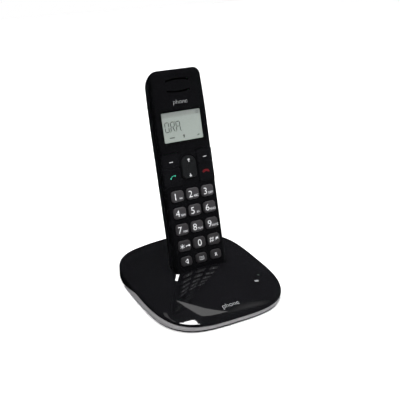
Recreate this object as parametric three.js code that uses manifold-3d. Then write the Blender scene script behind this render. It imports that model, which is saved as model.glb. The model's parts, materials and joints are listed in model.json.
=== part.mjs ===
// A cordless telephone: a slim handset that leans back in the cradle of a domed charging base.
//
// Units are millimetres. +Z is up, the front faces -Y, and the origin is the middle of the base's
// footprint on the table. The handset is built in its own frame: X across, Y is the depth behind its
// face, Z runs along it from its foot, and one group leans that frame back into the cradle.

import * as THREE from "three";
import { mergeVertices } from "three/addons/utils/BufferGeometryUtils.js";
import Module from "manifold-3d";

const wasm = await Module();
wasm.setup();

// ---------------------------------------------------------------- driving dimensions

const GAP = 0.3; // air between two pieces that meet

const BASE = {
  halfWidth: 60.3,
  halfDepth: 69,
  power: 3.4, // exponent of the footprint's superellipse
  skirtZ: 5.9, // lower edge of the top shell, at the front
  rearSkirtZ: 2.2, // and at the back
  fallStart: -1, // the lower edge comes down behind here, by this much for each millimetre
  fallRate: 0.23,
  rimZ: 7.8, // where the domed top ends, at the front
  rimRadius: 1.2,
  sideRise: 2.8, // how much higher both edges are at the sides and the back
  riseReach: 45, // distance from the front over which they rise
  apexY: 20,
  apexZ: 24.5,
  frontPower: 1.9, // the ridge falls slowly towards the front and faster to the back
  rearPower: 3.2,
  sidePower: 2,
  wall: 2,
  floorZ: 0.8,
  floorTopZ: 2.8,
  segments: 52,
};

const HANDSET = {
  halfWidth: 23.5,
  length: 175.7,
  depth: 21.8,
  wall: 1.8,
  frontEdge: 1.8,
  backEdge: 8.3,
  topDrop: 13.2, // how far the back of the head falls away
  topDropStart: 9.2,
  headTaper: 1.2, // how far each side leans in towards the top of the head
  taperStart: 131.6,
  footEdge: 5,
  parting: 9, // depth of the joint between the two half shells
  lean: THREE.MathUtils.degToRad(17.2),
  footY: -9.9,
  footZ: 15.2,
};

const KEY = {
  width: 11.4, height: 9.6, smallWidth: 10.2, smallHeight: 8.2, radius: 2.7, rise: 1.3, flange: 0.8,
};
const PITCH = { x: 14.15, z: 14.25, lastRow: 13.4 };
const FIRST_ROW_Z = 71.3; // keys 1, 2 and 3
const HOLE_CLEARANCE = 0.4; // between a key and the edge of its hole
const SIDE_KEYS = { bottom: 79.9, split: 95.2, top: 107.4, inner: 8.7, depth: 2.9, rise: 0.7 };
const ROCKER = { halfWidth: 6.7, bottom: 84.7, top: 103.6, rise: 1.4, hole: 0.45 };
const DISPLAY = { z: 128.7, width: 36.8, height: 25, windowWidth: 40, windowHeight: 29 };
const EARPIECE = { z: 162.5, halfWidth: 11.4, halfHeight: 5.3, slot: 1.5 };
const LOUDSPEAKER = { z: 134, radius: 10.5, grilleRadius: 8, grillePitch: 2.4 };
const MICROPHONE = { z: 4.6, radius: 2.6 };
const SHELL_SCREW = { x: 18.4, z: 150, bossRadius: 2.9, headDepth: 11 };
const BOARD = { front: 5.3, back: 6.5, halfWidth: 19.4, bottom: 6, top: 168, holeRadius: 3 };
const MAT = { front: 3.9, pad: 0.7, back: 5 };
const BATTERY = { radius: 5.25, length: 44.5, x: 5.6, depth: 13.7, bottom: 55 };
const COVER = { halfWidth: 12.7, bottom: 45.7, top: 110.3 };
const POCKET = { clearance: 0.6, wall: 1.8, floorTop: -0.4, floor: 1.8 };
const CHARGE = { x: 8, depth: 13, pinRadius: 1, barrelRadius: 1.8 };
const SCREW_PLACES = [
  ["front_left", -36, -38],
  ["front_right", 36, -38],
  ["rear_left", -40, 42],
  ["rear_right", 40, 42],
];
const FOOT_PLACES = [
  ["front_left", -41, -51],
  ["front_right", 41, -51],
  ["rear_left", -33, 56],
  ["rear_right", 33, 56],
];
const FOOT_PAD = { radius: 5.5, height: 1.2 };
const LED = { x: 42, y: -31.5, radius: 1.1 };
const PAGE = { x: 28, y: 36, radius: 4.6, rise: 0.7 };
const SOCKETS = { front: 21, face: 33, halfGap: 1.5, width: 13, bottom: 5.5, top: 14.2 };
const RECESS = { halfWidth: 18, rear: 44, ceiling: 14.6 };
const CHANNEL = { halfWidth: 6, ceiling: 5.2 };
const BASE_BOARD = { bottom: 3.6, top: 5.2 };
const TRIM = { inset: 0.5, footInset: 1.1, bottom: 2, thickness: 2.5, gap: 0.4, rear: 24 };
const FLOOR = { inset: 1.4, edgeTop: 1.7, upstandInset: 3.3, upstand: 1.5 };
const BASE_SCREW = { headRadius: 2.7, seatTop: 1.9, shankRadius: 1.25, pilotRadius: 1.6, top: 8.6 };

// ---------------------------------------------------------------- materials

const material = (color, roughness, metalness = 0) =>
  new THREE.MeshStandardMaterial({ color, roughness, metalness });

const FINISH = {
  glossBlack: material(0x08080a, 0.12),
  satinBlack: material(0x0d0d0f, 0.4),
  keyGrey: material(0x2a292c, 0.5),
  silver: material(0x9a999c, 0.35),
  bottomBlack: material(0x101012, 0.6),
  rubber: material(0x161616, 0.85),
  clear: material(0x20242a, 0.05),
  display: material(0xa9afa7, 0.3),
  board: material(0x1f5a34, 0.5),
  metal: material(0xb8b4a8, 0.3, 1),
  speaker: material(0x2b2b2b, 0.6),
  silicone: material(0x3a3a3d, 0.7),
  cell: material(0x2f8a4a, 0.4),
  socket: material(0x1a1a1c, 0.5),
  lamp: material(0xbfe8c8, 0.2),
};

// ---------------------------------------------------------------- solids

// A closed geometry as a manifold-3d solid with its faces pointing out.
function solid(geometry) {
  const bare = geometry.clone();
  bare.deleteAttribute("normal");
  bare.deleteAttribute("uv");
  const merged = mergeVertices(bare, 1e-4);
  const vertProperties = merged.attributes.position.array;
  const triVerts = new Uint32Array(merged.index.array);
  const made = new wasm.Manifold(new wasm.Mesh({ numProp: 3, vertProperties, triVerts }));
  if (made.volume() > 0) return made;
  for (let i = 0; i < triVerts.length; i += 3) {
    [triVerts[i + 1], triVerts[i + 2]] = [triVerts[i + 2], triVerts[i + 1]];
  }
  return new wasm.Manifold(new wasm.Mesh({ numProp: 3, vertProperties, triVerts }));
}

// A solid as a three.js geometry.
function geometryOf(made) {
  const mesh = made.getMesh();
  const positions = new Float32Array(mesh.numVert * 3);
  for (let i = 0; i < mesh.numVert; i++) {
    const start = i * mesh.numProp;
    positions.set(mesh.vertProperties.subarray(start, start + 3), i * 3);
  }
  const geometry = new THREE.BufferGeometry();
  geometry.setAttribute("position", new THREE.BufferAttribute(positions, 3));
  geometry.setIndex(new THREE.BufferAttribute(new Uint32Array(mesh.triVerts), 1));
  geometry.computeVertexNormals();
  return geometry;
}

const join = (first, ...rest) => rest.reduce((made, next) => made.add(next), first);
const cut = (first, ...rest) => rest.reduce((made, next) => made.subtract(next), first);

function box(x0, x1, y0, y1, z0, z1) {
  const geometry = new THREE.BoxGeometry(x1 - x0, y1 - y0, z1 - z0);
  geometry.translate((x0 + x1) / 2, (y0 + y1) / 2, (z0 + z1) / 2);
  return solid(geometry);
}

// A round bar along +Z from z0 to z1.
function bar(x, y, radius, z0, z1, sides = 20) {
  const geometry = new THREE.CylinderGeometry(radius, radius, z1 - z0, sides);
  geometry.rotateX(Math.PI / 2);
  geometry.translate(x, y, (z0 + z1) / 2);
  return solid(geometry);
}

// A round bar along +Y from y0 to y1, the way things face in the handset's frame.
function barInDepth(x, z, radius, y0, y1, sides = 20) {
  const geometry = new THREE.CylinderGeometry(radius, radius, y1 - y0, sides);
  geometry.translate(x, (y0 + y1) / 2, z);
  return solid(geometry);
}

// A closed body through rings of points that all have the same count, with a flat cap at each end.
function loft(rings) {
  const count = rings[0].length;
  const positions = rings.flat().flatMap((p) => [p.x, p.y, p.z]);
  const index = [];
  for (let r = 0; r + 1 < rings.length; r++) {
    for (let i = 0; i < count; i++) {
      const a = r * count + i;
      const b = r * count + ((i + 1) % count);
      index.push(a, b, b + count, a, b + count, a + count);
    }
  }
  const last = (rings.length - 1) * count;
  for (let i = 1; i + 1 < count; i++) {
    index.push(0, i + 1, i, last, last + i, last + i + 1);
  }
  const geometry = new THREE.BufferGeometry();
  geometry.setAttribute("position", new THREE.Float32BufferAttribute(positions, 3));
  geometry.setIndex(index);
  return solid(geometry);
}

// The outline of a box with four rounded corners, anticlockwise, as [across, along] pairs.
function roundedOutline(halfWidth, bottom, top, bottomRadius, topRadius, steps = 4) {
  const corners = [
    [halfWidth - bottomRadius, bottom + bottomRadius, bottomRadius, -90],
    [halfWidth - topRadius, top - topRadius, topRadius, 0],
    [topRadius - halfWidth, top - topRadius, topRadius, 90],
    [bottomRadius - halfWidth, bottom + bottomRadius, bottomRadius, 180],
  ];
  return corners.flatMap(([x, z, radius, start]) =>
    Array.from({ length: steps + 1 }, (_, i) => {
      const angle = THREE.MathUtils.degToRad(start + (90 * i) / steps);
      return [x + radius * Math.cos(angle), z + radius * Math.sin(angle)];
    }),
  );
}

const ringAtDepth = (outline, y, x = 0) => outline.map(([u, v]) => new THREE.Vector3(u + x, y, v));

// A rounded plate or hole in the handset's frame, from depth y0 to y1.
function plate(x, halfWidth, bottom, top, radius, y0, y1, topRadius = radius, steps = 4) {
  const outline = roundedOutline(halfWidth, bottom, top, radius, topRadius, steps);
  return loft([ringAtDepth(outline, y0, x), ringAtDepth(outline, y1, x)]);
}

// ---------------------------------------------------------------- the base

// A point of the base's footprint, drawn in by inset.
function footprint(angle, inset) {
  const c = Math.cos(angle);
  const s = Math.sin(angle);
  const power = 2 / BASE.power;
  return [
    (BASE.halfWidth - inset) * Math.sign(c) * Math.abs(c) ** power,
    (BASE.halfDepth - inset) * Math.sign(s) * Math.abs(s) ** power,
  ];
}

const footprintAngles = Array.from(
  { length: BASE.segments },
  (_, i) => (2 * Math.PI * (i + 0.5)) / BASE.segments,
);

function footprintRing(inset, z) {
  return footprintAngles.map((angle) => new THREE.Vector3(...footprint(angle, inset), z));
}

// How much higher than at the front the top shell's edges are.
function edgeRise(y) {
  const share = Math.min(1, Math.max(0, (y + BASE.halfDepth) / BASE.riseReach));
  return BASE.sideRise * Math.sin((Math.PI / 2) * share);
}

// The top shell's lower edge rises from the front, then comes down along the sides to the back.
function lowerEdgeZ(y) {
  const fall = BASE.fallRate * Math.max(0, y - BASE.fallStart);
  return Math.max(BASE.rearSkirtZ, BASE.skirtZ + edgeRise(y) - fall);
}

// A ring round the footprint whose height is worked out from its place along the base.
function shapedRing(inset, heightAt) {
  return footprintRing(inset, 0).map((p) => p.setZ(heightAt(p.y)));
}

// Height of the line along the middle of the domed top.
function ridgeZ(y) {
  const front = y < BASE.apexY;
  const reach = front ? BASE.halfDepth + BASE.apexY : BASE.halfDepth - BASE.apexY;
  const endZ = front ? BASE.rimZ : BASE.rimZ + BASE.sideRise;
  const along = Math.min(1, Math.abs(y - BASE.apexY) / reach);
  return endZ + (BASE.apexZ - endZ) * (1 - along ** (front ? BASE.frontPower : BASE.rearPower));
}

function halfWidthAt(y) {
  const reach = 1 - Math.min(1, Math.abs(y) / BASE.halfDepth) ** BASE.power;
  return BASE.halfWidth * reach ** (1 / BASE.power);
}

// Height of the domed top at a place on the base.
function domeZ(x, y) {
  const rimZ = BASE.rimZ + edgeRise(y);
  const half = halfWidthAt(y);
  const across = half > 0 ? Math.min(1, Math.abs(x) / half) : 1;
  return rimZ + (ridgeZ(y) - rimZ) * (1 - across ** BASE.sidePower);
}

// How far the rounded rim falls away at a share of the way from the middle to the edge.
function rimDrop(share) {
  const reach = Math.max(0, 1 - ((1 - share) * BASE.halfWidth) / BASE.rimRadius);
  return BASE.rimRadius * (1 - Math.sqrt(1 - reach * reach));
}

// The dome from the rim to its middle as rings: the outer face, or the underside of the wall.
function domeRings(wall, shares) {
  return shares.map((share) =>
    footprintAngles.map((angle) => {
      const [x, y] = footprint(angle, 0);
      const [innerX, innerY] = footprint(angle, wall);
      const drop = wall > 0 ? wall : rimDrop(share);
      return new THREE.Vector3(innerX * share, innerY * share, domeZ(x * share, y * share) - drop);
    }),
  );
}

const OUTER_SHARES = [1, 0.994, 0.98, 0.92, 0.84, 0.73, 0.58, 0.4, 0.2];
const INNER_SHARES = [1, 0.9, 0.72, 0.48, 0.22];

// The whole lump under the dome, down to the top shell's lower edge.
const domeLump = loft([
  shapedRing(BASE.wall + 0.5, lowerEdgeZ),
  shapedRing(0, lowerEdgeZ),
  ...domeRings(0, OUTER_SHARES),
]);
const domeHollow = loft([
  footprintRing(BASE.wall, BASE.rearSkirtZ - 1),
  ...domeRings(BASE.wall, INNER_SHARES),
]);

const leanMatrix = new THREE.Matrix4()
  .makeRotationX(-HANDSET.lean)
  .setPosition(0, HANDSET.footY, HANDSET.footZ);

// A solid made in the handset's frame, moved to where the docked handset is.
const leaned = (made) => solid(geometryOf(made).applyMatrix4(leanMatrix));

// The handset's cross-section grown by a margin, as a straight prism along its length.
function sectionPrism(margin, z0, z1) {
  const half = HANDSET.halfWidth + margin;
  const outline = roundedOutline(
    half,
    -margin,
    HANDSET.depth + margin,
    HANDSET.frontEdge + margin,
    HANDSET.backEdge + margin,
  );
  const ring = (z) => outline.map(([x, y]) => new THREE.Vector3(x, y, z));
  return loft([ring(z0), ring(z1)]);
}

// The space that the cords take on their way out at the back, from a place in front of the rear edge.
const cordSpace = (front) =>
  box(-CHANNEL.halfWidth, CHANNEL.halfWidth, front, BASE.halfDepth + 5, -1, CHANNEL.ceiling);

function baseTopShell() {
  const above = 40;
  const pocketInside = leaned(sectionPrism(POCKET.clearance, POCKET.floorTop, above));
  const pocketOutside = leaned(
    sectionPrism(POCKET.clearance + POCKET.wall, POCKET.floorTop - POCKET.floor, above),
  );
  const pinHoles = [-1, 1].map((side) =>
    leaned(bar(side * CHARGE.x, CHARGE.depth, CHARGE.pinRadius + 0.4, -5, 5, 12)),
  );
  const bosses = SCREW_PLACES.map(([, x, y]) =>
    bar(x, y, BASE_SCREW.pilotRadius + BASE.wall, BASE.floorTopZ + GAP, domeZ(x, y) - 1, 16),
  );
  const pilots = SCREW_PLACES.map(([, x, y]) =>
    bar(x, y, BASE_SCREW.pilotRadius, 0, BASE_SCREW.top + 1, 12),
  );
  const ledHole = bar(LED.x, LED.y, LED.radius + GAP, 0, 40, 16);
  const pageHole = bar(PAGE.x, PAGE.y, PAGE.radius + HOLE_CLEARANCE, 10, 40, 24);
  const shell = cut(domeLump, domeHollow);
  const withPocket = join(shell, pocketOutside.intersect(domeLump), ...bosses);
  const cordNotch = cordSpace(BASE.halfDepth - 8);
  return cut(withPocket, pocketInside, ...pinHoles, ...pilots, ledHole, pageHole, cordNotch);
}

// The footprint, drawn in by inset, as a block between two heights.
const footprintBlock = (inset, z0, z1) => loft([footprintRing(inset, z0), footprintRing(inset, z1)]);

// The band fills the space under the top shell's edge and ends where that edge comes down.
function baseTrimBand() {
  const height = (y) => Math.max(0.4, lowerEdgeZ(y) - TRIM.gap - TRIM.bottom);
  const level = (share) => (y) => TRIM.bottom + share * height(y);
  const innerInset = TRIM.inset + TRIM.thickness;
  const band = loft([
    shapedRing(TRIM.footInset, level(0)),
    shapedRing(TRIM.inset, level(0.25)),
    shapedRing(TRIM.inset, level(1)),
    shapedRing(innerInset + 0.5, level(1)),
  ]);
  const inside = footprintBlock(innerInset, 0, 12);
  const { halfWidth, halfDepth } = BASE;
  return cut(band, inside, box(-halfWidth, halfWidth, TRIM.rear, halfDepth, 0, 12));
}

// The floor of the bottom shell, with the upstand that carries the trim band.
function baseFloor() {
  const { inset, edgeTop, upstandInset, upstand } = FLOOR;
  const wall = cut(
    loft([
      footprintRing(upstandInset, 2),
      shapedRing(upstandInset, (y) => BASE.skirtZ + edgeRise(y) - 0.8),
    ]),
    footprintBlock(upstandInset + upstand, 1, 12),
  );
  return join(
    footprintBlock(inset, BASE.floorZ, edgeTop),
    footprintBlock(upstandInset, edgeTop - 0.1, BASE.floorTopZ),
    wall,
  );
}

// The walls round the recess for the plugs and round the channel for their cords.
function recessWalls(wall) {
  const { halfWidth, rear, ceiling } = RECESS;
  const bottom = BASE.floorTopZ - 1.3;
  const channelHalf = CHANNEL.halfWidth + wall;
  const recess = box(
    -halfWidth - wall, halfWidth + wall, SOCKETS.face - wall, rear + wall, bottom, ceiling + wall,
  );
  const channel = box(
    -channelHalf, channelHalf, rear, BASE.halfDepth, bottom, CHANNEL.ceiling + wall,
  ).intersect(footprintBlock(FLOOR.upstandInset, 0, 12));
  return join(recess, channel);
}

function baseBottomShell() {
  const wall = 1.4;
  const { halfWidth, rear, ceiling } = RECESS;
  const recessInside = box(-halfWidth, halfWidth, SOCKETS.face, rear, -1, ceiling);
  const socketsHalf = SOCKETS.halfGap + SOCKETS.width + GAP;
  const socketWindow = box(
    -socketsHalf, socketsHalf, SOCKETS.face - wall - 1, SOCKETS.face + 1,
    SOCKETS.bottom - GAP, SOCKETS.top + GAP,
  );
  const boardSlot = box(
    -halfWidth - 3, halfWidth + 3, SOCKETS.face - wall - 1, SOCKETS.face - 0.8,
    BASE_BOARD.bottom - GAP, SOCKETS.bottom,
  );
  const screwHoles = SCREW_PLACES.flatMap(([, x, y]) => [
    bar(x, y, BASE_SCREW.shankRadius + 0.45, 0, 5, 12),
    bar(x, y, BASE_SCREW.headRadius + 0.4, 0, BASE_SCREW.seatTop, 16),
  ]);
  const footSeats = FOOT_PLACES.map(([, x, y]) =>
    bar(x, y, FOOT_PAD.radius + GAP, 0, FOOT_PAD.height + GAP, 16),
  );
  return cut(
    join(baseFloor(), recessWalls(wall)),
    recessInside, cordSpace(rear - 1), socketWindow, boardSlot, ...screwHoles, ...footSeats,
  );
}

function baseBoard() {
  const { bottom, top } = BASE_BOARD;
  const overlap = 0.1;
  const part = (x0, x1, y0, y1, height) => box(x0, x1, y0, y1, top - overlap, top + height);
  return join(
    box(-28, 28, -48, 31.3, bottom, top),
    box(-47, 47, -33.5, 28, bottom, top),
    box(20.2, PAGE.x + 5, 27, PAGE.y + 5, bottom, top),
    part(-22, 2, -40, -18, 2.6), // radio shield
    part(8, 18, -42, -32, 1.4), // main chip
    part(20, 26, -25, -19, 1.2),
    bar(-34, -18, 3, top - overlap, top + 6, 16), // smoothing capacitor
    bar(-38, 10, 2.4, top - overlap, top + 5, 16),
    part(PAGE.x - 3, PAGE.x + 3, PAGE.y - 3, PAGE.y + 3, 3.6), // page switch
    part(LED.x - 1.2, LED.x + 1.2, LED.y - 1.2, LED.y + 1.2, 1.4), // lamp chip
  );
}

// A modular socket that faces the back, with a stepped port for the plug and its latch.
function modularSocket(side) {
  const x0 = side < 0 ? -SOCKETS.halfGap - SOCKETS.width : SOCKETS.halfGap;
  const middle = x0 + SOCKETS.width / 2;
  const body = box(x0, x0 + SOCKETS.width, SOCKETS.front, SOCKETS.face - 0.2, SOCKETS.bottom, SOCKETS.top);
  const port = box(middle - 4.9, middle + 4.9, SOCKETS.face - 10.5, SOCKETS.face + 1, 6.7, 13);
  const latch = box(middle - 1.7, middle + 1.7, SOCKETS.face - 8, SOCKETS.face + 1, 6, 7.5);
  return cut(body, port, latch);
}

function baseScrew(x, y) {
  const head = bar(x, y, BASE_SCREW.headRadius, 0.95, BASE_SCREW.seatTop - 0.2, 12);
  const shank = bar(x, y, BASE_SCREW.shankRadius, 1.6, BASE_SCREW.top, 8);
  const slotA = box(x - 1.6, x + 1.6, y - 0.3, y + 0.3, 0, 1.35);
  const slotB = box(x - 0.3, x + 0.3, y - 1.6, y + 1.6, 0, 1.35);
  return cut(join(head, shank), slotA, slotB);
}

const footPad = (x, y) =>
  loft([
    [FOOT_PAD.radius - 0.4, 0],
    [FOOT_PAD.radius, 0.4],
    [FOOT_PAD.radius, FOOT_PAD.height],
  ].map(([radius, z]) =>
    Array.from({ length: 16 }, (_, i) => {
      const angle = (2 * Math.PI * i) / 16;
      return new THREE.Vector3(x + radius * Math.cos(angle), y + radius * Math.sin(angle), z);
    }),
  ));

function ledLens() {
  const surface = domeZ(LED.x, LED.y);
  return join(
    bar(LED.x, LED.y, LED.radius, BASE_BOARD.top + 1.7, surface + 0.15, 16),
    bar(LED.x, LED.y, LED.radius + 0.8, BASE_BOARD.top + 1.7, surface - BASE.wall - 1.4, 16),
  );
}

function pageButton() {
  const surface = domeZ(PAGE.x, PAGE.y);
  const { radius, rise } = PAGE;
  const profile = [
    [0, 9.8], [1.6, 9.8], [1.6, surface - 5.9], [radius + 0.9, surface - 5.9],
    [radius + 0.9, surface - 5.2], [radius, surface - 5.2], [radius, surface + rise - 0.5],
    [radius - 0.6, surface + rise], [0, surface + rise],
  ].map(([r, z]) => new THREE.Vector2(r, z));
  const geometry = new THREE.LatheGeometry(profile, 16);
  geometry.rotateX(Math.PI / 2);
  geometry.translate(PAGE.x, PAGE.y, 0);
  return solid(geometry);
}

// Charging pins stand across the pocket's floor, in line with the handset's foot plates.
const chargePin = (side) =>
  join(
    bar(side * CHARGE.x, CHARGE.depth, CHARGE.pinRadius, -3.4, -0.5, 12),
    bar(side * CHARGE.x, CHARGE.depth, CHARGE.pinRadius * 0.7, -0.6, -0.15, 12),
  );

function chargeBarrel(side) {
  const x = side * CHARGE.x;
  const outside = bar(x, CHARGE.depth, CHARGE.barrelRadius, -5.4, -2.6, 12);
  return cut(outside, bar(x, CHARGE.depth, CHARGE.pinRadius + GAP, -4.9, 0, 12));
}

// ---------------------------------------------------------------- the handset

// How far the outline is drawn in at a depth, for the outer face (wall 0) or the inside of a wall.
function quarterInset(depth, start, run, drop, wall) {
  const share = Math.min(1, Math.max(0, depth - start) / (run - wall));
  return wall + (drop - wall) * (1 - Math.sqrt(1 - share * share));
}

// An outline with points added along its sides, which lean in towards the head.
function leaningSides(outline, steps) {
  const { halfWidth, length, headTaper, taperStart } = HANDSET;
  const [half] = outline[steps];
  const sideTop = outline[steps + 1][1];
  const up = [0, 1 / 3, 2 / 3].map((share) => [half, taperStart + share * (sideTop - taperStart)]);
  const down = up.map(([x, z]) => [-x, z]).reverse();
  const leftStart = 3 * (steps + 1);
  const all = [
    ...outline.slice(0, steps + 1), ...up, ...outline.slice(steps + 1, leftStart), ...down,
    ...outline.slice(leftStart),
  ];
  return all.map(([x, z]) => {
    const share = Math.max(0, (z - taperStart) / (length - taperStart));
    return [x * (1 - (headTaper / halfWidth) * share * share), z];
  });
}

function handsetRing(depth, wall) {
  const { halfWidth, length, backEdge, topDrop, topDropStart, footEdge, frontEdge } = HANDSET;
  const intoEdge = wall > 0 ? 0 : Math.max(0, frontEdge - depth);
  const front = frontEdge - Math.sqrt(frontEdge ** 2 - intoEdge ** 2);
  const side = quarterInset(depth, HANDSET.depth - backEdge, backEdge, backEdge, wall) + front;
  const head = quarterInset(depth, topDropStart, HANDSET.depth - topDropStart, topDrop, wall) + front;
  const foot = quarterInset(depth, HANDSET.depth - footEdge, footEdge, footEdge, wall) + front;
  const share = depth / HANDSET.depth;
  const headRadius = 5.7 + 7 * share - wall - front / 2;
  const footRadius = 4.2 + 3 * share - wall - front / 2;
  const steps = 5;
  const outline = roundedOutline(halfWidth - side, foot, length - head, footRadius, headRadius, steps);
  return ringAtDepth(leaningSides(outline, steps), depth);
}

const OUTER_DEPTHS = [0, 0.25, 0.8, 1.8, 5.5, 9.2, 13.5, 16.2, 18.5, 20.3, 21.3, 21.8];
const INNER_DEPTHS = [1.8, 5.5, 9.2, 13.5, 16.2, 18.2, 19.5, 20];

const handsetLump = loft(OUTER_DEPTHS.map((depth) => handsetRing(depth, 0)));
const handsetHollow = loft(INNER_DEPTHS.map((depth) => handsetRing(depth, HANDSET.wall)));
const everywhere = 300;
const inFrontOf = (depth) => box(-everywhere, everywhere, -everywhere, depth, -everywhere, everywhere);
const behind = (depth) => box(-everywhere, everywhere, depth, everywhere, -everywhere, everywhere);

// Rows of number and function keys: name, column, height along the handset, key height.
const KEY_NAMES = [
  ["1", "2", "3"],
  ["4", "5", "6"],
  ["7", "8", "9"],
  ["star", "0", "hash"],
];
const LAST_ROW = ["speaker", "phonebook", "recall"];
const lastRowZ = FIRST_ROW_Z - 3 * PITCH.z - PITCH.lastRow;
const KEYS = [
  ...KEY_NAMES.flatMap((row, r) =>
    row.map((name, c) => ({
      name,
      x: (c - 1) * PITCH.x,
      z: FIRST_ROW_Z - r * PITCH.z,
      halfHeight: KEY.height / 2,
      halfWidth: KEY.width / 2,
    })),
  ),
  ...LAST_ROW.map((name, c) => ({
    name,
    x: (c - 1) * PITCH.x,
    z: lastRowZ,
    halfHeight: KEY.smallHeight / 2,
    halfWidth: KEY.smallWidth / 2,
  })),
];

// An arched slot over or under the middle of the earpiece.
function earpieceSlot(side) {
  const { z, halfWidth, halfHeight, slot } = EARPIECE;
  const steps = 6;
  const arch = (offset) =>
    Array.from({ length: steps + 1 }, (_, i) => {
      const x = halfWidth * (1 - (2 * i) / steps) * 0.92;
      return [x, z + side * (halfHeight - 1.6 * (x / halfWidth) ** 2) + offset];
    });
  const outline = [...arch(slot / 2), ...arch(-slot / 2).reverse()];
  return loft([ringAtDepth(outline, -1), ringAtDepth(outline, 3)]);
}

// The dish that the ear rests in, as a shallow cut from the face.
function earpieceDish() {
  const { z, halfWidth, halfHeight } = EARPIECE;
  const ring = (share, depth) =>
    Array.from({ length: 20 }, (_, i) => {
      const angle = (2 * Math.PI * i) / 20;
      return new THREE.Vector3(
        (halfWidth + 1) * share * Math.cos(angle), depth, z + (halfHeight + 1.2) * share * Math.sin(angle),
      );
    });
  return loft([ring(1.04, -0.5), ring(1, 0.02), ring(0.75, 0.4), ring(0.4, 0.6)]);
}

const bothSides = (make) => [-1, 1].map(make);

// The openings in the face round the keys, the rocker and the side keys.
function keyOpenings() {
  const keys = KEYS.map(({ x, z, halfHeight, halfWidth }) =>
    plate(x, halfWidth + HOLE_CLEARANCE, z - halfHeight - HOLE_CLEARANCE, z + halfHeight + HOLE_CLEARANCE,
      KEY.radius + HOLE_CLEARANCE, -1, 3, KEY.radius + HOLE_CLEARANCE, 2),
  );
  const { bottom, top, inner, depth } = SIDE_KEYS;
  const notches = bothSides((side) => {
    const x0 = side < 0 ? -everywhere : inner - GAP;
    const x1 = side < 0 ? GAP - inner : everywhere;
    return box(x0, x1, -5, depth + 0.8, bottom - GAP, top + GAP);
  });
  const rocker = plate(0, ROCKER.halfWidth + ROCKER.hole, ROCKER.bottom - ROCKER.hole,
    ROCKER.top + ROCKER.hole, 4.2, -1, 3, 6.4);
  return [...keys, ...notches, rocker];
}

// The seat of the display window in the face, and the hole behind it.
function displayOpenings() {
  const { z, width, height, windowWidth, windowHeight } = DISPLAY;
  const across = windowWidth / 2 + GAP;
  const along = windowHeight / 2 + GAP;
  const seat = plate(0, across, z - along, z + along, 1.6, -1, 1.3, 1.6, 3);
  const holeAlong = height / 2 + GAP;
  const hole = plate(0, width / 2 + GAP, z - holeAlong, z + holeAlong, 0.8, -1, 3, 0.8, 2);
  return [seat, hole];
}

// A round bar at each shell screw, along the depth.
const atShellScrews = (radius, y0, y1, sides) =>
  bothSides((side) => barInDepth(side * SHELL_SCREW.x, SHELL_SCREW.z, radius, y0, y1, sides));

function handsetFrontShell() {
  const shell = cut(handsetLump, handsetHollow).intersect(inFrontOf(HANDSET.parting));
  const bosses = atShellScrews(SHELL_SCREW.bossRadius - GAP, 1.5, HANDSET.parting - 0.4, 14);
  const pilots = atShellScrews(1.2, 3, 12, 12);
  const microphoneHole = barInDepth(0, MICROPHONE.z, 0.9, -1, 3, 12);
  return cut(
    join(shell, ...bosses),
    ...pilots, ...keyOpenings(), ...displayOpenings(),
    earpieceSlot(1), earpieceSlot(-1), earpieceDish(), microphoneHole,
  );
}

// The box that holds the two cells, with room for their contacts: the outside and the inside.
function batteryTray() {
  const { radius, length, x, depth, bottom } = BATTERY;
  const contacts = 4; // room at each end of the cells
  const half = x + radius + 0.5;
  const front = depth - radius - 0.4;
  const z0 = bottom - contacts;
  const z1 = bottom + length + contacts;
  const wall = 1;
  const outside = box(-half - wall, half + wall, front - 0.9, 19.5, z0 - wall, z1 + wall);
  const inside = box(-half, half, front, everywhere, z0, z1);
  return { outside, inside };
}

// A plate as large as the battery cover grown by a margin.
function coverPlate(margin, y0, y1) {
  const { halfWidth, bottom, top } = COVER;
  return box(-halfWidth - margin, halfWidth + margin, y0, y1, bottom - margin, top + margin);
}

// The loudspeaker's grille: slots across a circle.
function grilleSlots() {
  const { z, grilleRadius, grillePitch } = LOUDSPEAKER;
  return [-3, -2, -1, 0, 1, 2, 3].map((i) => {
    const half = Math.sqrt(grilleRadius ** 2 - (i * grillePitch) ** 2);
    const middle = z + i * grillePitch;
    return plate(0, half, middle - 0.6, middle + 0.6, 0.55, 18, 25, 0.55, 2);
  });
}

function handsetRearShell() {
  const shell = cut(handsetLump, handsetHollow).intersect(behind(HANDSET.parting + GAP));
  const tray = batteryTray();
  const ledge = coverPlate(1.5, 18.6, HANDSET.depth - HANDSET.wall);
  const coverHole = coverPlate(GAP, HANDSET.depth - HANDSET.wall - 0.1, everywhere);
  const chargeSlots = bothSides((side) =>
    box(side * CHARGE.x - 2.3, side * CHARGE.x + 2.3, CHARGE.depth - 2.8, CHARGE.depth + 2.8, -1, 3),
  );
  const screwBosses = atShellScrews(SHELL_SCREW.bossRadius, HANDSET.parting + GAP, 17.6, 14);
  return cut(
    join(shell, tray.outside, ledge, ...screwBosses.map((boss) => boss.intersect(handsetLump))),
    tray.inside, coverHole, ...grilleSlots(), ...chargeSlots,
    ...atShellScrews(1.5, 5, 30, 12), ...atShellScrews(2.4, SHELL_SCREW.headDepth, 30, 14),
  );
}

function batteryCover() {
  const skin = handsetLump.intersect(coverPlate(0, HANDSET.depth - HANDSET.wall + GAP, everywhere));
  const thumbGrooves = [0, 1, 2, 3, 4].map((i) => {
    const half = 6 - i * 0.8;
    const z = COVER.top - 9.3 - i * 2;
    return box(-half, half, HANDSET.depth - 0.5, HANDSET.depth + 1, z - 0.4, z + 0.4);
  });
  return cut(skin, ...thumbGrooves);
}

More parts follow.
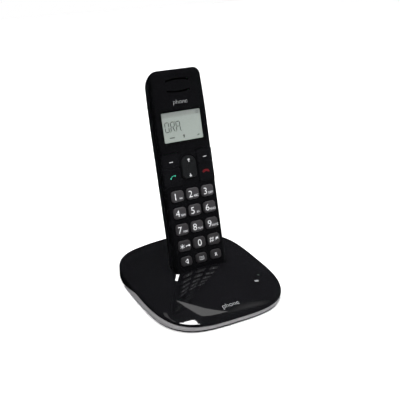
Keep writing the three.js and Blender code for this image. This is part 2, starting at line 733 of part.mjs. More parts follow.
// A key cap: a flange under the face, straight sides through the hole, and a crowned top.
function keyCap({ x, z, halfHeight, halfWidth }) {
  const levels = [
    [2.9, KEY.flange],
    [2.1, KEY.flange],
    [2.1, 0],
    [-KEY.rise + 0.5, 0],
    [-KEY.rise, -0.9],
  ];
  const rings = levels.map(([depth, grow]) =>
    ringAtDepth(
      roundedOutline(halfWidth + grow, z - halfHeight - grow, z + halfHeight + grow,
        KEY.radius + grow * 0.7, KEY.radius + grow * 0.7, 2),
      depth, x,
    ),
  );
  return loft(rings);
}

// A soft key or a call key: it wraps over the handset's edge and stands a little proud of the face.
function sideKey(side, bottom, top) {
  const { inner, depth, rise } = SIDE_KEYS;
  const raised = solid(geometryOf(handsetLump).translate(0, -rise, 0));
  const x0 = side < 0 ? -everywhere : inner;
  const x1 = side < 0 ? -inner : everywhere;
  const face = raised.intersect(box(x0, x1, -10, depth, bottom, top));
  const lipX = side * (inner + 1.7);
  const lip = box(lipX - 2.3, lipX + 2.3, 2.1, depth, bottom + 1, top - 1);
  return join(face, lip);
}

function rockerKey() {
  const levels = [
    [3.1, 0.6],
    [2.4, 0.6],
    [2.4, 0],
    [-ROCKER.rise + 0.5, 0],
    [-ROCKER.rise + 0.12, -0.4],
    [-ROCKER.rise, -1.4],
  ];
  return loft(levels.map(([depth, grow]) =>
    ringAtDepth(
      roundedOutline(ROCKER.halfWidth + grow, ROCKER.bottom - grow, ROCKER.top + grow,
        3.8 + grow * 0.6, 6 + grow * 0.6, 4),
      depth,
    ),
  ));
}

// One silicone mat with a pad under each key, and a post that the rocker tilts on.
function keypadMat() {
  const sheet = box(-18.8, 18.8, MAT.front + MAT.pad, MAT.back, 10, SIDE_KEYS.top - 0.9);
  const pad = (x, z, radius) => barInDepth(x, z, radius, MAT.front, MAT.back, 8);
  const sidePadZ = [
    (SIDE_KEYS.bottom + SIDE_KEYS.split) / 2,
    (SIDE_KEYS.split + SIDE_KEYS.top) / 2,
  ];
  const sidePads = bothSides((side) => sidePadZ.map((z) => pad(side * 15.4, z, 2.6)));
  const post = barInDepth(0, (ROCKER.bottom + ROCKER.top) / 2, 1.5, 3.4, MAT.back, 10);
  return join(sheet, ...KEYS.map(({ x, z }) => pad(x, z, 3)), ...sidePads.flat(), post);
}

function handsetBoard() {
  const { front, back, halfWidth, bottom, top, holeRadius } = BOARD;
  const board = plate(0, halfWidth, bottom, top, 3, front, back, 6, 3);
  const displayDriver = box(-8, 8, back - 0.1, back + 1.4, 120, 136);
  const radio = box(-15, 15, back - 0.1, back + 2, 24, 44);
  return cut(join(board, displayDriver, radio), ...atShellScrews(holeRadius, 0, 12, 14));
}

function displayWindow() {
  const { z, windowWidth, windowHeight } = DISPLAY;
  return plate(0, windowWidth / 2, z - windowHeight / 2, z + windowHeight / 2, 1.3, 0, 1, 1.3, 3);
}

function displayPanel() {
  const { z, width, height } = DISPLAY;
  const half = width / 2 + 0.8;
  return box(-half, half, 2.2, 4.9, z - height / 2 - 2, z + height / 2 + 1);
}

function speaker(z, radius, y0, y1) {
  return join(barInDepth(0, z, radius, y0, y1, 20), barInDepth(0, z, radius * 0.6, y0, y1 + 1, 14));
}

function batteryCell(side) {
  const { radius, length, x, depth, bottom } = BATTERY;
  return join(
    bar(side * x, depth, radius, bottom, bottom + length - 1, 16),
    bar(side * x, depth, 1.9, bottom + length - 1.1, bottom + length, 8),
  );
}

// A coil spring terminal, drawn as a stepped cone on a plate.
function springTerminal(side) {
  const { x, depth, bottom } = BATTERY;
  return join(
    box(side * x - 4, side * x + 4, depth - 4, depth + 4, bottom - 3.7, bottom - 3.2),
    bar(side * x, depth, 3, bottom - 3.3, bottom - 1.8, 10),
    bar(side * x, depth, 2, bottom - 1.9, bottom - GAP, 10),
  );
}

function bridgeContact() {
  const { x, depth, bottom, length } = BATTERY;
  return box(-x - 4, x + 4, depth - 4, depth + 4, bottom + length + GAP, bottom + length + 0.8);
}

const footPlate = (side) =>
  join(
    box(side * CHARGE.x - 2, side * CHARGE.x + 2, CHARGE.depth - 2.5, CHARGE.depth + 2.5, 0.15, 2.5),
    box(side * CHARGE.x - 3, side * CHARGE.x + 3, CHARGE.depth - 3.4, CHARGE.depth + 3.4, 2.1, 2.7),
  );

function handsetScrew(side) {
  const { x: across, z, headDepth } = SHELL_SCREW;
  const x = side * across;
  const head = barInDepth(x, z, 2.1, headDepth + GAP, 12.8, 14);
  const shank = barInDepth(x, z, 0.9, 4, headDepth + 0.4, 10);
  const slotLength = 1.3;
  const slotHalf = 0.25;
  return cut(
    join(head, shank),
    box(x - slotLength, x + slotLength, 12.3, 13.5, z - slotHalf, z + slotHalf),
    box(x - slotHalf, x + slotHalf, 12.3, 13.5, z - slotLength, z + slotLength),
  );
}

// ---------------------------------------------------------------- assembly

function part(name, made, finish) {
  const mesh = new THREE.Mesh(geometryOf(made), finish);
  mesh.name = name;
  return mesh;
}

const base = new THREE.Group();
base.add(
  part("base_top_shell", baseTopShell(), FINISH.glossBlack),
  part("base_trim_band", baseTrimBand(), FINISH.silver),
  part("base_bottom_shell", baseBottomShell(), FINISH.bottomBlack),
  part("base_circuit_board", baseBoard(), FINISH.board),
  part("power_socket", modularSocket(-1), FINISH.socket),
  part("line_socket", modularSocket(1), FINISH.socket),
  part("base_status_lens", ledLens(), FINISH.lamp),
  part("page_button", pageButton(), FINISH.satinBlack),
  ...FOOT_PLACES.map(([place, x, y]) => part(`base_foot_${place}`, footPad(x, y), FINISH.rubber)),
  ...SCREW_PLACES.map(([place, x, y]) => part(`base_screw_${place}`, baseScrew(x, y), FINISH.metal)),
);

const docked = new THREE.Group();
docked.position.set(0, HANDSET.footY, HANDSET.footZ);
docked.rotation.x = -HANDSET.lean;
docked.add(
  part("handset_front_shell", handsetFrontShell(), FINISH.glossBlack),
  part("handset_rear_shell", handsetRearShell(), FINISH.satinBlack),
  part("battery_cover", batteryCover(), FINISH.satinBlack),
  part("display_window", displayWindow(), FINISH.clear),
  part("display_panel", displayPanel(), FINISH.display),
  part("handset_circuit_board", handsetBoard(), FINISH.board),
  part("earpiece_speaker", speaker(EARPIECE.z, 9.4, 2.1, 4), FINISH.speaker),
  part("loudspeaker", speaker(LOUDSPEAKER.z, LOUDSPEAKER.radius, 15.2, 17.4), FINISH.speaker),
  part("microphone", barInDepth(0, MICROPHONE.z + 0.6, MICROPHONE.radius, 2.1, 4.2, 16), FINISH.metal),
  part("keypad_mat", keypadMat(), FINISH.silicone),
  part("battery_bridge_contact", bridgeContact(), FINISH.metal),
  part("navigation_rocker", rockerKey(), FINISH.keyGrey),
  part("soft_key_left", sideKey(-1, SIDE_KEYS.split + 0.15, SIDE_KEYS.top), FINISH.glossBlack),
  part("soft_key_right", sideKey(1, SIDE_KEYS.split + 0.15, SIDE_KEYS.top), FINISH.glossBlack),
  part("talk_key", sideKey(-1, SIDE_KEYS.bottom, SIDE_KEYS.split - 0.15), FINISH.glossBlack),
  part("end_key", sideKey(1, SIDE_KEYS.bottom, SIDE_KEYS.split - 0.15), FINISH.glossBlack),
  ...KEYS.map((key) => part(`key_${key.name}`, keyCap(key), FINISH.keyGrey)),
);
for (const [place, side] of [["left", -1], ["right", 1]]) {
  docked.add(
    part(`battery_cell_${place}`, batteryCell(side), FINISH.cell),
    part(`battery_spring_${place}`, springTerminal(side), FINISH.metal),
    part(`handset_charge_plate_${place}`, footPlate(side), FINISH.metal),
    part(`handset_screw_${place}`, handsetScrew(side), FINISH.metal),
    part(`charge_pin_${place}`, chargePin(side), FINISH.metal),
    part(`charge_pin_barrel_${place}`, chargeBarrel(side), FINISH.metal),
  );
}

const phone = new THREE.Group();
phone.name = "cordless_phone";
phone.add(base, docked);

export default phone;
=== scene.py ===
"""The finished look of the cordless phone and its charging base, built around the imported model.

Shapes are worked out in millimetres. The handset's pieces use the handset's own frame: across, depth
behind its face, and height along it from its foot. The base's pieces use the row frame.
"""

import json
import math

import bmesh
import bpy
from mathutils import Matrix, Vector


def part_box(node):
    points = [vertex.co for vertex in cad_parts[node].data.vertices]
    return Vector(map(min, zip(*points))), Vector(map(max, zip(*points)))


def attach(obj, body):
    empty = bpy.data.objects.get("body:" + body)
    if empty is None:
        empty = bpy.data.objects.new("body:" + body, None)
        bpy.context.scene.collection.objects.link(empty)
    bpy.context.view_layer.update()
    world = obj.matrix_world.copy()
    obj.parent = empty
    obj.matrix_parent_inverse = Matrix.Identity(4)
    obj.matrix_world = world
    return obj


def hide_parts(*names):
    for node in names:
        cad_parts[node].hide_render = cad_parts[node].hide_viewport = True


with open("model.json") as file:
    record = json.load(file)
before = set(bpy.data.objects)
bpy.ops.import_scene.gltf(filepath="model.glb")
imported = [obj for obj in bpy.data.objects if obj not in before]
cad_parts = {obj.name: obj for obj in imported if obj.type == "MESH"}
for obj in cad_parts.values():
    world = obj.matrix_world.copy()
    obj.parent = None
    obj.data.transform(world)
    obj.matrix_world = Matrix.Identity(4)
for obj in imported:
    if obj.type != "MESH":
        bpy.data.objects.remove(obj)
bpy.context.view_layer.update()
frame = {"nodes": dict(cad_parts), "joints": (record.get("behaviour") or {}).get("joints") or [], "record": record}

MM = 0.001

# ---------------- dimensions, in millimetres

BASE_HALF_WIDTH = 60.3
BASE_HALF_DEPTH = 69.0
BASE_POWER = 3.4
SKIRT_Z = 5.9
REAR_SKIRT_Z = 2.2
FALL_START = -1.0
FALL_RATE = 0.23
RIM_Z = 7.8
RIM_RADIUS = 1.2
SIDE_RISE = 2.8
RISE_REACH = 45.0
APEX_Y = 20.0
APEX_Z = 24.5
FRONT_POWER = 1.9
REAR_POWER = 3.2
SIDE_POWER = 2.0
SHOULDER = 0.45
SHOULDER_WIDTH = 6.0
SHELL_WALL = 2.0
BAND_GAP = 0.4
BAND_INSET = 0.5
BAND_REAR = 24.0
BAND_FRONT_BOTTOM = 2.0
BAND_SIDE_BOTTOM = 0.6
BAND_BULGE = 0.5

HANDSET_HALF_WIDTH = 23.5
HANDSET_LENGTH = 175.7
HANDSET_DEPTH = 21.8
HANDSET_WALL = 1.8
FRONT_EDGE = 1.8
BACK_EDGE = 8.3
TOP_DROP = 13.2
TOP_DROP_START = 9.2
HEAD_TAPER = 1.2
TAPER_START = 131.6
FOOT_EDGE = 5.0
PARTING = 9.0
GAP = 0.3
CUT_FRONT = -1.0  # cutters for the face start in front of it
CUT_BACK = 3.0  # and end behind its wall
FAR = 40.0  # past everything, for cutters

KEY_WIDTH = 11.4
KEY_HEIGHT = 9.6
SMALL_KEY_WIDTH = 10.2
SMALL_KEY_HEIGHT = 8.2
KEY_RADIUS = 2.7
KEY_HOLE = 0.4
ROCKER_HOLE = 0.45
WINDOW_GAP = 0.12
WINDOW_CHAMFER = 0.12
COLUMN_PITCH = 14.15
ROW_PITCH = 14.25
LAST_ROW_PITCH = 13.4
FIRST_ROW = 71.3

SIDE_KEY_BOTTOM = 79.9
SIDE_KEY_SPLIT = 95.2
SIDE_KEY_TOP = 107.4
SIDE_KEY_INNER = 8.7
SIDE_KEY_RISE = 0.7
SIDE_KEY_DEPTH = 2.9

ROCKER_HALF_WIDTH = 6.7
ROCKER_BOTTOM = 84.7
ROCKER_TOP = 103.6
ROCKER_PIVOT = (0.0, 3.1, 94.15)

DISPLAY_Z = 128.7
DISPLAY_WIDTH = 35.6
DISPLAY_HEIGHT = 24.4
WINDOW_WIDTH = 40.0
WINDOW_HEIGHT = 29.0

EARPIECE_Z = 162.5
EARPIECE_HALF_WIDTH = 11.4
EARPIECE_HALF_HEIGHT = 5.3

COVER_HALF_WIDTH = 12.7
COVER_BOTTOM = 45.7
COVER_TOP = 110.3

POCKET_CLEARANCE = 0.6
POCKET_WALL = 1.8
POCKET_FLOOR = -0.4
POCKET_FLOOR_WALL = 1.8
POCKET_FRONT_RADIUS = FRONT_EDGE + POCKET_CLEARANCE
POCKET_BACK_RADIUS = BACK_EDGE + POCKET_CLEARANCE
PLAN_CENTRE = (0.0, 4.1)
PLAN_COUNT = 240

CELL_RADIUS = 5.25
CELL_LENGTH = 44.5
CELL_DEPTH = 13.7
CELL_BOTTOM = 55.0
TRAY_HALF_WIDTH = 12.35
TRAY_WALL = 1.0
TRAY_END = 5.0

GRILLE_Z = 134.0
GRILLE_RADIUS = 8.0
GRILLE_PITCH = 2.4

PIN_X = 8.0
PIN_DEPTH = 13.0
PIN_HOLE_RADIUS = 1.4

SHARP_ANGLE = math.radians(32)

# ---------------- the handset's frame

joints = {joint["name"]: joint for joint in frame["joints"]}
ALONG = Vector(joints["handset_lift"]["axis"])
INTO = Vector(joints["battery_cover_lift"]["axis"])
ACROSS = INTO.cross(ALONG)
pivot = Vector(joints["navigation_rocker_tilt"]["pos_m"])
FOOT = pivot - INTO * ROCKER_PIVOT[1] * MM - ALONG * ROCKER_PIVOT[2] * MM
HANDSET = Matrix((ACROSS, INTO, ALONG)).transposed().to_4x4() * MM
HANDSET.translation = FOOT
HANDSET[3][3] = 1.0
ROW = Matrix.Scale(MM, 4)
ROW[3][3] = 1.0


# ---------------- node materials


def feed(tree, node, values):
    """Set the node's sockets, and link those whose value comes from another node."""
    for name, value in values.items():
        if isinstance(value, bpy.types.NodeSocket):
            tree.links.new(value, node.inputs[name])
        else:
            node.inputs[name].default_value = value


def add(tree, kind, values=None, **settings):
    """A new shader node, with its sockets' values and its own settings."""
    made = tree.nodes.new(kind)
    for name, value in settings.items():
        setattr(made, name, value)
    feed(tree, made, values or {})
    return made


def blank(name):
    material = bpy.data.materials.new(name)
    material.use_nodes = True
    return material, material.node_tree, material.node_tree.nodes["Principled BSDF"]


def object_place(tree):
    return add(tree, "ShaderNodeTexCoord").outputs["Object"]


def height_of(tree, place):
    return add(tree, "ShaderNodeSeparateXYZ", {"Vector": place}).outputs["Z"]


def grey(level, tint=(1.0, 1.0, 1.0)):
    return (level * tint[0], level * tint[1], level * tint[2], 1.0)


def noise(tree, place, scale, detail=3.0, roughness=0.5):
    values = {"Vector": place, "Scale": scale, "Detail": detail, "Roughness": roughness}
    return add(tree, "ShaderNodeTexNoise", values).outputs["Fac"]


def spread(tree, factor, low, high, start=0.3, end=0.7):
    """factor mapped from start..end onto low..high."""
    values = {"Value": factor, "From Min": start, "From Max": end, "To Min": low, "To Max": high}
    return add(tree, "ShaderNodeMapRange", values).outputs["Result"]


def colour_between(tree, factor, first, second, blend="MIX"):
    values = {"Factor": factor, "A": first, "B": second}
    return add(tree, "ShaderNodeMix", values, data_type="RGBA", blend_type=blend).outputs["Result"]


def mixed(tree, factor, first, second):
    return add(tree, "ShaderNodeMixShader", {"Fac": factor, 1: first, 2: second}).outputs["Shader"]


def ramp(tree, factor, stops):
    """A colour ramp through (position, colour) stops, the first at 0 and the last at 1."""
    made = add(tree, "ShaderNodeValToRGB", {"Fac": factor})
    elements = made.color_ramp.elements
    elements[0].color = stops[0][1]
    elements[1].color = stops[-1][1]
    for position, colour in stops[1:-1]:
        elements.new(position).color = colour
    return made.outputs["Color"]


def moulded(
    name, dark, light, roughness, grain=1500.0, grain_height=0.02, cloud=60.0, edge=0.0, metallic=0.0,
    specks=0.0, specular=0.5, painted_shade=None,
):
    """Moulded plastic, rubber or paint: a cloudy colour, uneven roughness, fine grain and, where it is asked for,
    softened edges, sparse dust specks and painted shade, a darkening of the colour towards the foot."""
    material, tree, shader = blank(name)
    place = object_place(tree)
    clouds = noise(tree, place, cloud, 4.0)
    colour = colour_between(tree, spread(tree, clouds, 0.0, 1.0), dark, light)
    if specks:
        dust = spread(tree, noise(tree, place, 2600.0, 2.0), 0.0, 1.0, 0.74, 0.8)
        pale = tuple(min(1.0, c + specks) for c in light[:3]) + (1.0,)
        colour = colour_between(tree, dust, colour, pale)
    # Painted shade: below the height low the colour is multiplied down to share of itself, rising to full at high.
    if painted_shade:
        low, high, share = painted_shade
        level = spread(tree, height_of(tree, place), share, 1.0, low, high)
        colour = colour_between(tree, 1.0, colour, level, "MULTIPLY")
    wear = noise(tree, place, cloud * 4.0, 5.0, 0.65)
    relief = {"Strength": 0.6, "Distance": grain_height * MM, "Height": noise(tree, place, grain, 2.0)}
    if edge:
        soft = add(tree, "ShaderNodeBevel", {"Radius": edge * MM}, samples=6)
        relief["Normal"] = soft.outputs["Normal"]
    finish = {
        "Base Color": colour,
        "Roughness": spread(tree, wear, *roughness),
        "Metallic": metallic,
        "Specular IOR Level": specular,
        "Normal": add(tree, "ShaderNodeBump", relief).outputs["Normal"],
    }
    feed(tree, shader, finish)
    return material


def window_glass():
    """A thin clear window: what is behind shows through, under a faint polish."""
    material, tree, shader = blank("clear_window")
    polish = spread(tree, noise(tree, object_place(tree), 300.0), 0.02, 0.06)
    feed(tree, shader, {"Base Color": grey(0.02), "Roughness": polish})
    clear = add(tree, "ShaderNodeBsdfTransparent", {"Color": (0.96, 0.97, 0.96, 1.0)})
    facing = add(tree, "ShaderNodeLayerWeight", {"Blend": 0.5}).outputs["Facing"]
    steep = add(tree, "ShaderNodeMath", {0: facing, 1: 5.0}, operation="POWER").outputs["Value"]
    share = spread(tree, steep, 0.035, 1.0, 0.0, 1.0)
    both = mixed(tree, share, clear.outputs["BSDF"], shader.outputs["BSDF"])
    feed(tree, tree.nodes["Material Output"], {"Surface": both})
    return material


def crystal_display():
    """The grey-green reflective display, with a darker strip along its top."""
    material, tree, shader = blank("liquid_crystal")
    place = object_place(tree)
    low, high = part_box("display_panel")
    rise = spread(tree, height_of(tree, place), 0.0, 1.0, low.z, high.z)
    bands = [
        (0.0, (0.342, 0.368, 0.352, 1.0)),
        (0.8, (0.323, 0.348, 0.335, 1.0)),
        (0.87, (0.255, 0.265, 0.262, 1.0)),
        (1.0, (0.231, 0.243, 0.24, 1.0)),
    ]
    mottle = spread(tree, noise(tree, place, 400.0), 0.95, 1.0)
    colour = colour_between(tree, 1.0, ramp(tree, rise, bands), mottle, "MULTIPLY")
    feed(tree, shader, {"Base Color": colour, "Roughness": 0.45})
    return material


def printed(name, red, green, blue):
    """Screen-printed ink, a little uneven."""
    material, tree, shader = blank(name)
    full = (red, green, blue, 1.0)
    faint = (red * 0.82, green * 0.82, blue * 0.82, 1.0)
    worn = spread(tree, noise(tree, object_place(tree), 1800.0), 0.0, 1.0)
    feed(tree, shader, {"Base Color": colour_between(tree, worn, faint, full), "Roughness": 0.5})
    return material


def circuit_green():
    """Solder mask with the faint paler lines of tracks under it."""
    material, tree, shader = blank("solder_mask")
    place = object_place(tree)
    layout = {
        "Vector": place,
        "Scale": 180.0,
        "Mortar Size": 0.03,
        "Color1": (0.012, 0.10, 0.035, 1.0),
        "Color2": (0.010, 0.085, 0.03, 1.0),
        "Mortar": (0.03, 0.19, 0.07, 1.0),
    }
    tracks = add(tree, "ShaderNodeTexBrick", layout).outputs["Color"]
    roughness = spread(tree, noise(tree, place, 500.0), 0.25, 0.45)
    feed(tree, shader, {"Base Color": tracks, "Roughness": roughness})
    return material


BLACK_TINT = (0.97, 0.98, 1.15)
SILVER_TINT = (1.0, 0.98, 1.0)
LOOKS = {
    "glossy_black_shell": moulded(
        "gloss_black", grey(0.0018, BLACK_TINT), grey(0.0026, BLACK_TINT), (0.03, 0.06), 900.0, 0.0012,
        edge=0.22, specks=0.01, specular=0.55,
    ),
    "satin_black_shell": moulded(
        "satin_black", grey(0.003, BLACK_TINT), grey(0.0045, BLACK_TINT), (0.34, 0.44), 3500.0, 0.012,
        edge=0.25, specular=0.22,
    ),
    # Painted shade on the keys: they darken to half their colour from the top row of digits down to the row of 0.
    "key_plastic": moulded(
        "key_grey", (0.024, 0.0225, 0.0245, 1.0), (0.032, 0.030, 0.0325, 1.0), (0.42, 0.55), 4200.0, 0.02,
        edge=0.15, painted_shade=(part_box("key_0")[0].z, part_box("key_2")[0].z, 0.5),
    ),
    "silver_trim": moulded(
        "silver_paint", grey(0.27, SILVER_TINT), grey(0.31, SILVER_TINT), (0.32, 0.42), 6000.0, 0.006,
        metallic=0.3,
    ),
    "bottom_plastic": moulded(
        "textured_black", grey(0.010), grey(0.016), (0.5, 0.65), 2200.0, 0.05, edge=0.2,
    ),
    "rubber_pad": moulded("black_rubber", grey(0.012), grey(0.02), (0.75, 0.9), 1800.0, 0.04, specular=0.3),
    "contact_metal": moulded(
        "plated_metal", (0.62, 0.58, 0.5, 1.0), (0.72, 0.69, 0.62, 1.0), (0.2, 0.35), 2500.0, 0.01,
        edge=0.1, metallic=1.0,
    ),
    "speaker_cone": moulded("fibre_cone", grey(0.02), grey(0.04), (0.7, 0.85), 2500.0, 0.05),
    "silicone": moulded("soft_silicone", grey(0.035), grey(0.05), (0.55, 0.7), 1500.0, 0.02),
    "battery_wrap": moulded(
        "battery_sleeve", (0.02, 0.16, 0.05, 1.0), (0.03, 0.2, 0.07, 1.0), (0.2, 0.3), 900.0, 0.01,
    ),
    "socket_plastic": moulded("socket_black", grey(0.012), grey(0.018), (0.4, 0.5), 2500.0, 0.02, edge=0.15),
    "lamp_lens": moulded(
        "lamp_smoke", (0.020, 0.024, 0.021, 1.0), (0.03, 0.036, 0.032, 1.0), (0.15, 0.25), 900.0, 0.005,
    ),
    "circuit_board": circuit_green(),
    "display_window": window_glass(),
    "display_glass": crystal_display(),
}
GLOSS_KEY = moulded(
    "gloss_key", grey(0.003, BLACK_TINT), grey(0.004, BLACK_TINT), (0.05, 0.09), 900.0, 0.002, edge=0.3,
)
ROCKER_BLACK = moulded(
    "rocker_black", (0.006, 0.0065, 0.007, 1.0), (0.009, 0.0095, 0.010, 1.0), (0.26, 0.34), 3000.0, 0.01,
    edge=0.3,
)
CLOTH = moulded("acoustic_cloth", grey(0.0008), grey(0.0016), (0.85, 0.95), 2500.0, 0.05, specular=0.1)
WHITE_INK = printed("white_ink", 0.74, 0.75, 0.77)
LETTER_INK = printed("letter_ink", 0.62, 0.63, 0.65)
GREY_INK = printed("grey_ink", 0.42, 0.43, 0.44)
PALE_INK = printed("pale_ink", 0.5, 0.51, 0.52)
GREEN_INK = printed("green_ink", 0.04, 0.46, 0.29)
RED_INK = printed("red_ink", 0.1, 0.003, 0.005)
SEGMENT_INK = printed("segment_dark", 0.014, 0.017, 0.016)
FAINT_SEGMENT_INK = printed("segment_faint", 0.08, 0.088, 0.084)


# ---------------- meshes


def placed(name, data):
    """A new object in the scene for a mesh, a text, a light or a camera."""
    made = bpy.data.objects.new(name, data)
    bpy.context.scene.collection.objects.link(made)
    return made


def new_object(name, points, faces, matrix):
    mesh = bpy.data.meshes.new(name)
    mesh.from_pydata([matrix @ Vector(point) for point in points], [], faces)
    work = bmesh.new()
    work.from_mesh(mesh)
    bmesh.ops.recalc_face_normals(work, faces=work.faces)
    work.to_mesh(mesh)
    work.free()
    return placed(name, mesh)


def bridge(rings, closed=False):
    """Quads between rings of equal counts, and a cap on each end unless the last ring meets the first."""
    count = len(rings[0])
    points = [point for ring in rings for point in ring]
    faces = []
    pairs = len(rings) if closed else len(rings) - 1
    for r in range(pairs):
        below = r * count
        above = ((r + 1) % len(rings)) * count
        for i in range(count):
            j = (i + 1) % count
            faces.append((below + i, below + j, above + j, above + i))
    if not closed:
        faces.append(tuple(range(count)))
        faces.append(tuple(range(len(points) - count, len(points))))
    return points, faces


def loft(name, rings, matrix=HANDSET, closed=False):
    points, faces = bridge(rings, closed)
    return new_object(name, points, faces, matrix)


def block(name, low, high, matrix=HANDSET):
    (x0, y0, z0), (x1, y1, z1) = low, high
    corners = [(x0, y0), (x1, y0), (x1, y1), (x0, y1)]
    return loft(name, [[(x, y, z) for x, y in corners] for z in (z0, z1)], matrix)


def ellipse(across, along, count, centre=(0.0, 0.0)):
    turns = [math.tau * i / count for i in range(count)]
    return [(centre[0] + across * math.cos(t), centre[1] + along * math.sin(t)) for t in turns]


def circle(radius, count, centre=(0.0, 0.0)):
    return ellipse(radius, radius, count, centre)


def rotated(points, turn, centre):
    """Points turned about the origin and then moved, so that the origin lies on centre."""
    c, s = math.cos(turn), math.sin(turn)
    return [(centre[0] + u * c - v * s, centre[1] + u * s + v * c) for u, v in points]


def rounded(half_width, bottom, top, bottom_radius, top_radius=None, steps=8):
    """The outline of a box with rounded corners, anticlockwise, as (across, along) pairs."""
    top_radius = bottom_radius if top_radius is None else top_radius
    corners = [
        (half_width - bottom_radius, bottom + bottom_radius, bottom_radius, -90),
        (half_width - top_radius, top - top_radius, top_radius, 0),
        (top_radius - half_width, top - top_radius, top_radius, 90),
        (bottom_radius - half_width, bottom + bottom_radius, bottom_radius, 180),
    ]
    points = []
    for x, z, radius, start in corners:
        for i in range(steps + 1):
            angle = math.radians(start + 90 * i / steps)
            points.append((x + radius * math.cos(angle), z + radius * math.sin(angle)))
    return points


def at_depth(outline, depth, x=0.0):
    return [(u + x, depth, v) for u, v in outline]


def plate(name, x, half_width, bottom, top, radius, y0, y1, steps=6, top_radius=None):
    outline = rounded(half_width, bottom, top, radius, top_radius, steps)
    return loft(name, [at_depth(outline, y0, x), at_depth(outline, y1, x)])


def turned(name, profile, x, y, count, matrix=ROW):
    """A round upright piece from (radius, height) pairs."""
    return loft(name, [[(u, v, z) for u, v in circle(r, count, (x, y))] for r, z in profile], matrix)


def cap(name, x, bottom, top, half_width, radii, levels, steps=8, share=0.75, least=0.3):
    """A rounded box from levels of (depth, growth); its corner radii grow by a share of the growth."""
    rings = []
    for depth, grow in levels:
        bottom_radius, top_radius = [max(least, radius + grow * share) for radius in radii]
        outline = rounded(half_width + grow, bottom - grow, top + grow, bottom_radius, top_radius, steps)
        rings.append(at_depth(outline, depth, x))
    return loft(name, rings)


def bar_in_depth(name, x, z, radius, y0, y1, count=32):
    ring = circle(radius, count, (x, z))
    return loft(name, [at_depth(ring, y0), at_depth(ring, y1)])


def merged(name, objects):
    """Several meshes as one object."""
    work = bmesh.new()
    for each in objects:
        work.from_mesh(each.data)
        bpy.data.objects.remove(each)
    mesh = bpy.data.meshes.new(name)
    work.to_mesh(mesh)
    work.free()
    return placed(name, mesh)


def boolean(obj, tools, operation="DIFFERENCE"):
    """obj with the tools cut away, or kept only inside them."""
    tool = merged(obj.name + "_tool", tools)
    modifier = obj.modifiers.new("cut", "BOOLEAN")
    modifier.operation = operation
    modifier.solver = "EXACT"
    modifier.use_self = True
    modifier.object = tool
    bpy.context.view_layer.update()
    evaluated = obj.evaluated_get(bpy.context.evaluated_depsgraph_get())
    mesh = bpy.data.meshes.new_from_object(evaluated)
    obj.modifiers.clear()
    obj.data = mesh
    bpy.data.objects.remove(tool)
    return obj


def finish_piece(obj, look, body, replaced=(), material=None):
    """Smooth shading with its sharp edges kept, a material, and the CAD body that it rides on."""
    obj.data.materials.clear()
    obj.data.materials.append(material or LOOKS[look])
    obj.data.shade_smooth()
    obj.data.set_sharp_from_angle(angle=SHARP_ANGLE)
    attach(obj, body)
    if replaced:
        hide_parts(*replaced)
    return obj


# ---------------- the base


def half_width_at(y):
    reach = 1.0 - min(1.0, abs(y) / BASE_HALF_DEPTH) ** BASE_POWER
    return BASE_HALF_WIDTH * reach ** (1.0 / BASE_POWER)


def edge_rise(y):
    """How much higher than at the front the top shell's edges are."""
    share = min(1.0, max(0.0, (y + BASE_HALF_DEPTH) / RISE_REACH))
    return SIDE_RISE * math.sin(math.pi / 2 * share)


def lower_edge_z(y):
    """The top shell's lower edge rises from the front, then comes down along the sides to the back."""
    fall = FALL_RATE * max(0.0, y - FALL_START)
    return max(REAR_SKIRT_Z, SKIRT_Z + edge_rise(y) - fall)


def ridge_z(y):
    """Height of the line along the middle of the domed top."""
    front = y < APEX_Y
    reach = BASE_HALF_DEPTH + (APEX_Y if front else -APEX_Y)
    end = RIM_Z if front else RIM_Z + SIDE_RISE
    along = min(1.0, abs(y - APEX_Y) / reach)
    return end + (APEX_Z - end) * (1.0 - along ** (FRONT_POWER if front else REAR_POWER))


def shoulder(x, y):
    """How much fuller the dome is a few millimetres in from its edge, so that it steepens to the rim."""
    out = (abs(x) / BASE_HALF_WIDTH) ** BASE_POWER + (abs(y) / BASE_HALF_DEPTH) ** BASE_POWER
    steps_in = max(0.0, 1.0 - out ** (1.0 / BASE_POWER)) * BASE_HALF_WIDTH / SHOULDER_WIDTH
    return SHOULDER * steps_in * math.exp(1.0 - steps_in)


def dome_z(x, y):
    """Height of the domed top at a place on the base."""
    rim = RIM_Z + edge_rise(y)
    half = half_width_at(y)
    across = min(1.0, abs(x) / half) if half > 0 else 1.0
    return rim + (ridge_z(y) - rim) * (1.0 - across**SIDE_POWER) + shoulder(x, y)


def in_handset(x, y, z):
    """A row-frame place, in millimetres, as across, depth and height in the handset's frame."""
    offset = Vector((x, y, z)) * MM - FOOT
    return offset.dot(ACROSS) / MM, offset.dot(INTO) / MM, offset.dot(ALONG) / MM


def outside_pocket(x, y, margin):
    """Distance from the cradle's pocket, grown by margin, of a place on the dome."""
    across, depth, _ = in_handset(x, y, dome_z(x, y))
    middle = HANDSET_DEPTH / 2
    radius = (POCKET_BACK_RADIUS if depth > middle else POCKET_FRONT_RADIUS) + margin
    u = abs(across) - (HANDSET_HALF_WIDTH + POCKET_CLEARANCE + margin) + radius
    v = abs(depth - middle) - (middle + POCKET_CLEARANCE + margin) + radius
    corner = math.hypot(max(u, 0.0), max(v, 0.0))
    return corner + min(max(u, v), 0.0) - radius


def outside_footprint(x, y, inset):
    u = abs(x) / (BASE_HALF_WIDTH - inset)
    v = abs(y) / (BASE_HALF_DEPTH - inset)
    return u**BASE_POWER + v**BASE_POWER - 1.0


